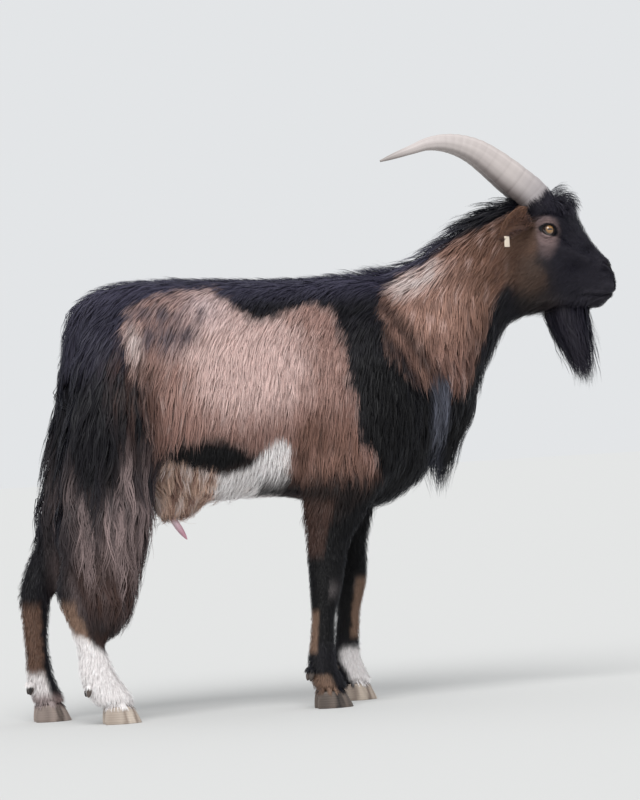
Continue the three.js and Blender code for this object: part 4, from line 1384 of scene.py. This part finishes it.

# %% [markdown]
# ## Growing the coat
#
# Hair grows in little bunches. For each bunch a root is sown on the skin, and a guide is combed
# from it: it starts along the lie, rises into the coat's depth, is kept out of the skin and
# inside the goat's outline, and hangs as far as it is long. The hairs of the bunch follow the
# guide and close up towards their tips, which gives the locks of a goat. Each is a flat, tapering
# blade of a few faces. Joined in large meshes they cost little.

# %% Sowing roots
def triangles_of(mesh):
    """The faces as triangles, in an order that is the same on every run.

    Some operators give a face another first corner on every run. So each face starts here at
    its lowest corner, four corners are split from there, and the triangles are put in order.
    """
    count = len(mesh.polygons)
    sizes, starts = np.empty(count, np.int32), np.empty(count, np.int32)
    corners = np.empty(len(mesh.loops), np.int32)
    mesh.polygons.foreach_get("loop_total", sizes)
    mesh.polygons.foreach_get("loop_start", starts)
    mesh.loops.foreach_get("vertex_index", corners)
    triangles = []
    for size in (3, 4):
        faces = corners[starts[sizes == size][:, None] + np.arange(size)]
        turns = (faces.argmin(1)[:, None] + np.arange(size)) % size
        faces = np.take_along_axis(faces, turns, 1)
        triangles += [faces[:, [0, k, k + 1]] for k in range(1, size - 1)]
    triangles = np.concatenate(triangles)
    return triangles[np.lexsort(triangles.T[::-1])]


skin_places = places_of(skin_mesh)
skin_normals = normals_of(skin_mesh)
skin_triangles = triangles_of(skin_mesh)
skin_tree = BVHTree.FromPolygons(skin_places.tolist(), skin_triangles.tolist())
outline_tree = BVHTree.FromPolygons(places_of(outline_mesh).tolist(), triangles_of(outline_mesh).tolist())


def blade_width(length):
    """How wide a blade of hairs is, in millimetres, from its length."""
    return np.minimum(0.40 + 0.017 * length, 1.75)


# Kinds of hair: shortest and longest in mm, points along a blade, blades in a bunch,
# spread of a bunch in mm, layers of hair, how much the bunch closes up, how closely it hugs the skin
KINDS = {
    "fine": (0, 13, 3, 2, 1.5, 2.4, 0.2, 1.0),
    "short": (13, 28, 3, 3, 3.0, 3.0, 0.35, 1.0),
    "plain": (28, 66, 4, 4, 7.5, 5.0, 0.15, 0.95),
    "shaggy": (66, 104, 6, 6, 8.0, 5.8, 0.45, 0.6),
    "long": (104, 400, 11, 8, 9.0, 7.2, 0.6, 0.35),
}
draw = np.random.RandomState(7)


def hairy(straight):
    """1 where hair grows, 0 on eyes, lid rims, nostrils, the line of the mouth and the nose pad."""
    left = to_the_left(straight)
    q, far, _, _ = across_opening(left)
    grows = np.where((q < 1.3) & (far < 1.6), 0.0, 1.0)
    for name, reach in (("nostril", 5.0), ("mouth", 3.0), ("cleft of the lip", 2.5)):
        grows[distance_to_line(left, FACE_LINES[name][0]) < reach] = 0
    pad = distance_to_line(left, [(628, 0, 850), (620, 12, 853)])
    return grows * (pad > 7.5)


CREST_LINE = [(150, 0, 868), (224, 0, 902), (314, 0, 965), (402, 0, 1002), (450, 0, 1016)]
FORELOCK_LINE = [(500, 8, 1008), (534, 10, 1000)]
CREST_RISE = 22  # millimetres by which the crest stands over the outline
FORELOCK_RISE = 16
CREST_CROWDING = 1.3  # how many more bunches stand on the crest
BLADE_SHARE = 0.7  # share of a blade's length and width that covers skin


def rise_at(straight):
    """How far the hair may stand over the goat's outline, in millimetres."""
    left = to_the_left(straight)
    rise = CREST_RISE * np.exp(-(distance_to_line(left, CREST_LINE) / 36) ** 2)
    return rise + FORELOCK_RISE * np.exp(-(distance_to_line(left, FORELOCK_LINE) / 24) ** 2)


def sow(mesh_places, mesh_normals, triangles):
    """Roots over the skin, as many as the hair's length and kind ask for."""
    corners = mesh_places[triangles]
    cross = np.cross(corners[:, 1] - corners[:, 0], corners[:, 2] - corners[:, 0])
    area = np.linalg.norm(cross, axis=1) / 2 / MM ** 2
    straight = straightened(corners.mean(1))
    length = coat_at(straight)[2]
    _, longest, _, blades, _, layers, _, _ = np.array(list(KINDS.values())).T
    kind = np.searchsorted(longest, length)
    covered = length * blade_width(length) * BLADE_SHARE
    wanted = area * layers[kind] / covered / blades[kind]
    wanted = wanted * hairy(straight)
    wanted = wanted * (1 + CREST_CROWDING * rise_at(straight) / CREST_RISE)
    total = int(wanted.sum())
    # One root in each equal share of the skin, so that no spot stays bare
    shares = (np.arange(total) + draw.uniform(size=total)) / total
    chosen = np.searchsorted(np.cumsum(wanted) / wanted.sum(), shares).clip(0, len(triangles) - 1)
    u, v = draw.uniform(size=(2, total))
    fold = u + v > 1
    u[fold], v[fold] = 1 - u[fold], 1 - v[fold]
    weights = np.stack([1 - u - v, u, v], 1)[:, :, None]
    places = (mesh_places[triangles[chosen]] * weights).sum(1)
    normals = unit((mesh_normals[triangles[chosen]] * weights).sum(1))
    return places, normals, kind[chosen]


def off_the_bare_tail(straight, normals):
    """False on the underside and the very tip of the tail, which are bare."""
    x, y, z = straight.T
    elsewhere = (x > -440) | (np.abs(y) > 36) | (z < 600) | (z > 800)
    return elsewhere | (normals[:, 0] < np.where(z < 730, -0.75, -0.2))


sown_places, sown_normals, sown_kinds = sow(skin_places, skin_normals, skin_triangles)
sown_straight = straightened(sown_places)
haired = off_the_bare_tail(sown_straight, sown_normals)
root_places, root_normals, root_kinds = sown_places[haired], sown_normals[haired], sown_kinds[haired]
root_straight = sown_straight[haired]
root_lie, root_depth, root_length, root_wave = coat_at(root_straight)
root_uv = bake_places(root_places)
room = np.linalg.norm(nearest(outline_tree, root_places)[0] - root_places, axis=1) / MM
root_rise = rise_at(root_straight)
root_room = np.clip(room * 0.96, root_depth * 0.5, root_depth * 2.2) + root_rise
print(len(root_places), "bunches:", dict(zip(KINDS, np.bincount(root_kinds, minlength=len(KINDS)).tolist())))

# %% Combing guides
RISE_END = 0.55  # share of the length in which hair rises to its layer
FILLING = 0.8  # how near its own layer a hair stays at least
INSIDE_LIMIT = 0.0015  # how far tips may stand proud of the goat's outline
WIDEST = 0.35  # where along its length a blade is widest


def comb(places, normals, lie, depth, length, points, hug, level, rise):
    """Guides from the roots: their places and the skin's normal under each point."""
    limit = INSIDE_LIMIT + rise * MM
    step = (length / (points - 1))[:, None] * MM
    outwards = (lie * normals).sum(1)
    along = unit(lie - normals * (outwards * np.where(outwards > 0, 0.75, 1))[:, None])
    steep = np.clip(depth * level / (RISE_END * length), 0.12, 0.85)[:, None]
    heading = unit(along * np.sqrt(1 - steep ** 2) + normals * steep)
    spine, under = [places - normals * 0.001], [normals]
    for k in range(1, points):
        t = k / (points - 1)
        place = spine[-1] + heading * step
        on_skin, normal, _ = nearest(skin_tree, place)
        height = ((place - on_skin) * normal).sum(1)
        layer = depth * MM * level * min(1, t / RISE_END)
        lowest = layer * FILLING
        agree = smoothstep(-0.1, 0.35, (normal * normals).sum(1))
        place += normal * (np.maximum(lowest - height, 0) * agree)[:, None]
        place -= normal * (np.maximum(height - layer, 0) * hug * agree)[:, None]
        edge, outwards, _ = nearest(outline_tree, place)
        proud = ((place - edge) * outwards).sum(1)
        place -= outwards * np.maximum(proud - limit, 0)[:, None]
        travelled = unit(place - spine[-1])
        turned = (travelled * heading).sum(1) < 0.4
        travelled[turned] = unit(travelled[turned] + 1.2 * heading[turned])
        wanted = unit(lie - normal * ((lie * normal).sum(1) * hug * agree)[:, None])
        heading = unit(travelled * 0.45 + wanted * 0.55)
        spine.append(spine[-1] + travelled * step)
        under.append(normal)
    return np.stack(spine, 1), np.stack(under, 1)


# %% Bunches, blades and meshes
def waved(spine, under, wave, length, wavelength):
    """The same guides with a wave that grows towards the tips."""
    points = spine.shape[1]
    count = len(spine)
    t = np.linspace(0, 1, points)[None, :, None]
    forward = unit(np.gradient(spine, axis=1))
    side = unit(np.cross(forward, under))
    phase = draw.uniform(0, 2 * math.pi, (count, 1, 1))
    turns = 2 * math.pi * (length / wavelength)[:, None, None] * t
    reach = wave[:, None, None] * MM * np.minimum(1, t * 2)
    lift = unit(np.cross(side, forward))
    start = np.sin(phase)
    return (spine + side * reach * (np.sin(turns + phase) - start * (1 - t))
            + lift * reach * 0.35 * np.cos(turns * 1.1 + phase) * t)


def bunched(spine, under, blades, spread, closing):
    """Every guide as several spines round it, which close up towards the tip."""
    count, points, _ = spine.shape
    t = np.linspace(0, 1, points)[None, None, :, None]
    forward = unit(np.gradient(spine, axis=1))[:, None]
    side = unit(np.cross(forward[:, 0], under))[:, None]
    lift = under[:, None]
    a = draw.normal(size=(count, blades, 1, 1)) * spread * MM * 0.5
    b = draw.normal(size=(count, blades, 1, 1)) * spread * MM * 0.5
    c = draw.uniform(-0.3, 1, (count, blades, 1, 1)) * spread * MM * 0.25
    keep = 1 - closing * t
    slide = forward[:, :, :1] * b
    spines = spine[:, None] + side * a * keep + slide * keep + lift * c * t * (1 - 0.5 * t)
    stretch = draw.uniform(0.75, 1.12, (count, blades, 1, 1))
    root = spines[:, :, :1]
    spines = root + (spines - root) * stretch
    shape = (count * blades, points, 3)
    return spines.reshape(shape), np.broadcast_to(under[:, None], spines.shape).reshape(shape)


def blade_mesh(name, spines, under, widths, colours, uv):
    """One mesh of flat tapering blades along the spines."""
    count, points, _ = spines.shape
    forward = unit(np.gradient(spines, axis=1))
    side = unit(np.cross(forward, under))
    roll = draw.normal(0, 0.3, (count, 1, 1))
    side = side * np.cos(roll) + under * np.sin(roll)
    t = np.linspace(0, 1, points)
    taper = np.maximum(t - WIDEST, 0) / (1 - WIDEST)
    profile = np.where(t < WIDEST, 0.6 + 0.4 * t / WIDEST, 1 - 0.75 * taper ** 1.5)
    half = side * (widths[:, None] * profile)[:, :, None] * MM / 2
    left, right = spines - half, spines + half
    rows = points - 1
    ring = 2 * rows + 1
    places = np.empty((count, ring, 3), np.float32)
    places[:, 0:2 * rows:2] = left[:, :rows]
    places[:, 1:2 * rows:2] = right[:, :rows]
    places[:, -1] = spines[:, -1]
    shade = np.empty((count, ring, 4), np.float32)
    shade[..., 3] = 1
    shade[:, 0:2 * rows:2, :3] = colours[:, :rows]
    shade[:, 1:2 * rows:2, :3] = colours[:, :rows]
    shade[:, -1, :3] = colours[:, -1]
    quads = [[2 * k, 2 * k + 1, 2 * k + 3, 2 * k + 2] for k in range(rows - 1)]
    pattern = np.array(sum(quads, []) + [2 * rows - 2, 2 * rows - 1, 2 * rows])
    across = np.array([0, 1] * rows + [0.5])
    upward = np.repeat(t[:rows], 2).tolist() + [1.0]
    patch = np.stack([across, np.array(upward)], 1) * PATCH - PATCH / 2
    corners = (np.arange(count)[:, None] * ring + pattern[None]).ravel()
    sizes = np.tile([4] * (rows - 1) + [3], count)
    starts = np.concatenate([[0], np.cumsum(sizes)[:-1]])
    mesh = bpy.data.meshes.new(name)
    mesh.vertices.add(count * ring)
    mesh.vertices.foreach_set("co", places.ravel())
    mesh.loops.add(len(corners))
    mesh.loops.foreach_set("vertex_index", corners.astype(np.int32))
    mesh.polygons.add(len(sizes))
    mesh.polygons.foreach_set("loop_start", starts.astype(np.int32))
    mesh.update(calc_edges=True)
    mesh.polygons.foreach_set("use_smooth", np.ones(len(sizes), bool))
    layer = mesh.uv_layers.new(name="OFBake")
    spots = np.clip(uv[:, None] + patch[None, pattern], 0, 1)
    layer.data.foreach_set("uv", spots.astype(np.float32).ravel())
    attribute = mesh.color_attributes.new("coat_colour", "FLOAT_COLOR", "POINT")
    attribute.data.foreach_set("color", shade.ravel())
    return mesh


def guide_colours(spine, seed):
    """The markings along each guide, with a colour of its own for each bunch."""
    count, points, _ = spine.shape
    middle_point = spine[:, points // 2][:, None]
    seen = (spine + middle_point) / 2
    flat = straightened(seen.reshape(-1, 3))
    colours = markings(flat).reshape(count, points, 3)
    own = np.random.RandomState(seed).normal(0, 1, (count, 1, 1))
    # Painted shade: each guide darkens towards its root, deep in the coat, and is a little paler at the tip.
    tip = np.linspace(0.86, 1.07, points)[None, :, None]
    return colours * (1 + 0.07 * own) * tip


COAT_LIMIT = 190000  # triangles in one coat piece
coat_pieces = []


def coat_material():
    """Hair: the colour of the markings, broken by fine streaks, with a soft sheen."""
    paint, shader = new_material("goat_hair", 0.5, 0.22)
    nodes, links = paint.node_tree.nodes, paint.node_tree.links
    shader.inputs["Sheen Weight"].default_value = 0.06
    shader.inputs["Sheen Roughness"].default_value = 0.5
    shader.inputs["Sheen Tint"].default_value = (0.62, 0.68, 1.0, 1)
    colour = nodes.new("ShaderNodeAttribute")
    colour.attribute_name = "coat_colour"
    place = nodes.new("ShaderNodeTexCoord")
    streaks = nodes.new("ShaderNodeTexNoise")
    streaks.inputs["Scale"].default_value = 260
    streaks.inputs["Detail"].default_value = 2
    shade = nodes.new("ShaderNodeMapRange")
    shade.inputs["To Min"].default_value = 0.84
    shade.inputs["To Max"].default_value = 1.16
    mix = nodes.new("ShaderNodeMix")
    mix.data_type = "RGBA"
    mix.blend_type = "MULTIPLY"
    mix.inputs["Factor"].default_value = 1
    links.new(place.outputs["Object"], streaks.inputs["Vector"])
    links.new(streaks.outputs["Fac"], shade.inputs["Value"])
    links.new(colour.outputs["Color"], mix.inputs[6])
    links.new(shade.outputs["Result"], mix.inputs[7])
    links.new(mix.outputs[2], shader.inputs["Base Color"])
    return paint


hair = coat_material()


def add_coat_piece(name, mesh, *nodes):
    coat_pieces.append(finished(name, mesh, hair, "coat_black", *nodes))


def grow(kind_name, region, chosen, seed):
    """The coat of one kind in one region of the goat, in pieces below the limit."""
    _, _, points, blades, spread, _, closing, hug = KINDS[kind_name]
    faces = 2 * (points - 2) + 1
    share = max(1, math.ceil(len(chosen) * blades * faces / COAT_LIMIT))
    for part, some in enumerate(np.array_split(chosen, share)):
        normals = root_normals[some]
        length = root_length[some] * draw.uniform(0.75, 1.2, len(some))
        lie = bent_directions(root_lie[some], root_straight[some])
        lie = unit(lie + draw.normal(0, 0.09, lie.shape))
        level = draw.uniform(0.4, 1.0, len(some))
        depth = root_room[some]
        rise = root_rise[some] * level
        spine, under = comb(root_places[some], normals, lie, depth, length, points, hug, level, rise)
        spine = waved(spine, under, root_wave[some], length, draw.uniform(70, 120, len(some)))
        colours = guide_colours(spine, seed + part)
        spines, unders = bunched(spine, under, blades, spread, closing)
        own = draw.normal(0, 0.07, (len(spines), 1, 1))
        colours = np.repeat(colours, blades, 0) * (1 + own)
        widths = np.repeat(blade_width(length), blades) * draw.uniform(0.7, 1.25, len(spines))
        uv = np.repeat(root_uv[some], blades, 0)
        name = f"coat_{region}_{kind_name}_{part + 1}"
        mesh = blade_mesh(name, spines, unders, widths, np.clip(colours, 0.001, 1), uv)
        add_coat_piece(name, mesh)
        print(name, len(spines) * faces, "triangles")


# The rear and the front end of each region along the goat, in millimetres
REGIONS = {"head": (385, np.inf), "front": (60, 385), "middle": (-300, 60), "rear": (-np.inf, -300)}
for number, (region, (rearmost, foremost)) in enumerate(REGIONS.items()):
    here = (root_straight[:, 0] > rearmost) & (root_straight[:, 0] <= foremost)
    for kind_number, kind_name in enumerate(KINDS):
        chosen = np.nonzero(here & (root_kinds == kind_number))[0]
        if len(chosen):
            grow(kind_name, region, chosen, 100 * number + 10 * kind_number)

# %% [markdown]
# ## Beard and chest tassel
#
# Two parts of the coat have no skin inside: the beard under the chin and the tassel of long hair
# in front of the chest. Their locks run down through the form that the solids give, each at its
# own place across it, and end at different heights.

# %% Hanging locks
# Rows of height, front, back and half width of each form, in millimetres on the straight goat
BEARD_FORM = np.array([
    (800, 572, 476, 17), (768, 571, 472, 24), (732, 573, 486, 24), (692, 577, 507, 21), (652, 576, 530, 16),
    (626, 568, 544, 9),
], float)
TASSEL_FORM = np.array([
    (650, 330, 262, 42), (590, 328, 236, 48), (562, 318, 228, 47), (530, 296, 220, 44), (480, 280, 214, 35),
    (442, 266, 220, 21), (424, 256, 234, 8),
], float)


def add_locks(name, spine, under, blades, spread, widths, colours, *nodes):
    """A piece of coat from guides of its own."""
    uv = bake_places(spine[:, 0])
    spines, unders = bunched(spine, under, blades, spread, 0.6)
    colours = np.repeat(colours, blades, 0) * (1 + draw.normal(0, 0.1, (len(spines), 1, 1)))
    widths = draw.uniform(*widths, len(spines))
    mesh = blade_mesh(name, spines, unders, widths, np.clip(colours, 0.001, 1), np.repeat(uv, blades, 0))
    add_coat_piece(name, mesh, *nodes)
    print(name, len(spines) * (2 * spine.shape[1] - 3), "triangles")


def hanging_locks(name, form, node, locks, blades, points, wave, sway, seed):
    """Locks that hang through a form, and end at its tips."""
    top, foot = form[0, 0], form[-1, 0]
    across = np.sqrt(draw.uniform(0, 1, locks)) * 0.98
    angle = draw.uniform(0, 2 * math.pi, locks)
    u, v = across * np.cos(angle), across * np.sin(angle)
    reach = draw.uniform(0.25, 1.0, locks) ** 0.6 * np.where(np.abs(u) + np.abs(v) > 1.1, 0.9, 1.0)
    t = np.linspace(0, 1, points)[None]
    z = top - (top - foot) * reach[:, None] * t
    front, back, half = (np.interp(-z, -form[:, 0], form[:, column]) for column in (1, 2, 3))
    stray = draw.normal(0, sway, (2, locks, 1)) * t ** 2
    x = (front + back) / 2 + (front - back) / 2 * u[:, None] + stray[0]
    straight = np.stack([x, half * v[:, None] + stray[1], z], 2).reshape(-1, 3)
    spine = bent(straight).reshape(locks, points, 3)
    centre = bent(np.stack([(front + back) / 2, 0 * z, z], 2).reshape(-1, 3)).reshape(locks, points, 3)
    under = unit(spine - centre + [0, 0, 1e-6])
    length = (top - foot) * reach
    spine = waved(spine, under, np.full(locks, wave), length, draw.uniform(40, 70, locks))
    add_locks(name, spine, under, blades, 7.0, (0.7, 1.5), guide_colours(spine, seed), node)


hanging_locks("beard_locks", BEARD_FORM, "beard", 460, 11, 9, 3.6, 7.5, 801)
hanging_locks("chest_tassel", TASSEL_FORM, "chest_mane", 420, 8, 9, 3.5, 4.0, 802)

# %% [markdown]
# ## Tufts round the horns, fringes over the claws, lashes
#
# Three places need hair that does not follow the skin. Tufts climb the foot of each horn and hide
# where it leaves the head. Short fringes hang over the upper edge of every claw. Stiff lashes
# stand along the upper lids. Each is drawn as guides of its own and grown like the locks above.

# %% Tufts round the horns
HORN_TUFTS = 240
TUFT_POINTS = 5


def horn_tufts(side):
    """Guides that climb one horn's foot, and the directions away from the horn."""
    foot = HORN_LINE[0]
    ahead = unit(HORN_LINE[1] - foot)
    wide = unit(np.array([0, 1.0, 0]) - ahead * ahead[1])
    inner = np.cross(ahead, wide)
    angle = draw.uniform(0, 2 * math.pi, (HORN_TUFTS, 1))
    front = np.maximum(-np.sin(angle), 0)
    start = draw.uniform(-10, 12, (HORN_TUFTS, 1))
    end = draw.uniform(28, 43, (HORN_TUFTS, 1)) + 3 * front
    t = np.linspace(0, 1, TUFT_POINTS)[None]
    gap = 1 + draw.uniform(1, 4, (HORN_TUFTS, 1)) * t + 2 * front * t ** 1.5
    along = start + (end - start) * t
    turn = angle + draw.normal(0, 0.2, (HORN_TUFTS, 1)) * t
    high, thick = HORN_GIRTH[0, 1], HORN_GIRTH[0, 2]
    straight = (foot + ahead * along[..., None] + inner * ((high + gap) * np.sin(turn))[..., None]
                + wide * ((thick + gap) * np.cos(turn))[..., None])
    away = unit(inner * (np.sin(turn) / high)[..., None] + wide * (np.cos(turn) / thick)[..., None])
    straight[..., 1] *= side
    away[..., 1] *= side
    flat = straight.reshape(-1, 3)
    shape = straight.shape
    return bent(flat, rigid=True).reshape(shape), bent_directions(away.reshape(-1, 3), flat).reshape(shape)


both = [horn_tufts(side) for side in SIDES.values()]
tuft_spine = np.concatenate([guides for guides, _ in both])
tuft_away = np.concatenate([away for _, away in both])
add_locks("horn_foot_tufts", tuft_spine, tuft_away, 7, 4.0, (0.6, 1.1), guide_colours(tuft_spine, 811))

# %% Fringes over the claws
FRINGE_TUFTS = 64  # round each claw
NUB_TUFTS = 26  # over each dewclaw
FRINGE_POINTS = 4
fringe_spine, fringe_away = [], []
for foot in FEET:
    foot_sign = 1 if foot.endswith("left") else -1
    for toe, toe_sign in TOES.items():
        node = f"{foot}_claw_{toe}"
        low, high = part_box(node)
        angle = draw.uniform(0, 2 * math.pi, FRINGE_TUFTS)
        hang = draw.uniform(5, 10, FRINGE_TUFTS)
        centre = np.array([(low.x * 0.56 + high.x * 0.44), (low.y + high.y) / 2, 0])
        guide = []
        for t in np.linspace(0, 1, FRINGE_POINTS):
            over = 7 - (7 + hang) * t
            level = np.where(over < 0, 1 + over * MM / (high.z - low.z), 1)
            ring = claw_outline(node, foot_sign * toe_sign, angle, level)
            outwards = unit((ring - centre) * [1, 1, 0])
            ring += outwards * (1.6 - 0.25 * np.maximum(over, 0))[:, None] * MM
            ring[:, 2] = high.z + over * MM
            ring[:, 0] -= 0.4 * np.maximum(over, 0) * MM
            guide.append(ring)
        fringe_spine.append(np.stack(guide, 1))
        fringe_away.append(np.repeat(outwards[:, None], FRINGE_POINTS, 1))
        low, high = (np.array(corner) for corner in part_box(f"{foot}_dewclaw_{toe}"))
        angle = draw.uniform(0, 2 * math.pi, NUB_TUFTS)
        guide = []
        for t in np.linspace(0, 1, FRINGE_POINTS):
            down = draw.uniform(0.1, 0.3) + 1.25 * t
            away = np.stack([
                math.sin(down) * np.cos(angle),
                math.sin(down) * np.sin(angle),
                np.full(NUB_TUFTS, math.cos(down)),
            ], 1)
            guide.append((low + high) / 2 + away * (high - low) / 2 * 0.92)
        fringe_spine.append(np.stack(guide, 1))
        fringe_away.append(np.repeat(away[:, None], FRINGE_POINTS, 1))
fringe_spine = np.concatenate(fringe_spine)
fringe_away = np.concatenate(fringe_away)
add_locks("claw_fringes", fringe_spine, fringe_away, 6, 3.0, (0.5, 0.9), guide_colours(fringe_spine, 812))

# %% Lashes
LASHES = 60  # on each upper lid
LASH_POINTS = 5


def lashes(side):
    """Guides of the lashes of one eye, fanned out along the upper lid."""
    angle = np.linspace(0.12, 0.88, LASHES) * math.pi + draw.normal(0, 0.02, LASHES)
    s = 0.98 * np.cos(angle)
    up = -0.10 * s + 0.64 * np.sin(angle)
    out = np.sqrt(np.maximum(1 - s ** 2 - up ** 2, 0.02))
    direction = s[:, None] * EYE_AHEAD + up[:, None] * EYE_UP + out[:, None] * EYE_OUT
    start = EYE_CENTRE + EYE_RADIUS * 1.1 * unit(direction)
    size = draw.uniform(6, 10, LASHES)[:, None, None]
    t = np.linspace(0, 1, LASH_POINTS)[None, :, None]
    fan = 0.85 * EYE_OUT + 0.35 * s[:, None] * EYE_AHEAD
    straight = start[:, None] + size * (t * fan[:, None] + (0.5 * t ** 2 - 0.25 * t) * EYE_UP)
    straight[..., 1] *= side
    return bent(straight.reshape(-1, 3), rigid=True).reshape(straight.shape)


lash_spine = np.concatenate([lashes(side) for side in SIDES.values()])
lash_away = np.tile([0, 0, 1.0], (len(lash_spine), LASH_POINTS, 1))
lash_colours = np.tile(PAINTS["black"], (len(lash_spine), LASH_POINTS, 1))
add_locks("lashes", lash_spine, lash_away, 2, 0.8, (0.3, 0.45), lash_colours)

# %% The skin's own finish
def skin_material():
    """Short hair seen close: the markings, a little darker, with a fine grain."""
    paint, shader = new_material("goat_skin", 0.6, 0.3)
    nodes, links = paint.node_tree.nodes, paint.node_tree.links
    colour = nodes.new("ShaderNodeAttribute")
    colour.attribute_name = "coat_colour"
    place = nodes.new("ShaderNodeTexCoord")
    grain = nodes.new("ShaderNodeTexNoise")
    grain.inputs["Scale"].default_value = 900
    bump = nodes.new("ShaderNodeBump")
    bump.inputs["Strength"].default_value = 0.4
    bump.inputs["Distance"].default_value = 0.001
    links.new(place.outputs["Object"], grain.inputs["Vector"])
    links.new(grain.outputs["Fac"], bump.inputs["Height"])
    links.new(bump.outputs["Normal"], shader.inputs["Normal"])
    links.new(colour.outputs["Color"], shader.inputs["Base Color"])
    return paint


skin_straight = straightened(skin_places)
skin_shade = 0.68 + 0.2 * smoothstep(30, 10, coat_at(skin_straight)[2])
colour_points(skin_mesh, markings(skin_straight) * skin_shade[:, None], "coat_colour")
skin_mesh.materials.clear()
skin_mesh.materials.append(skin_material())
skin_mesh.polygons.foreach_set("use_smooth", np.ones(len(skin_mesh.polygons), bool))
coat_total = sum(len(piece.data.loops) - 2 * len(piece.data.polygons) for piece in coat_pieces)
print("The coat has", len(coat_pieces), "pieces and", coat_total, "triangles")
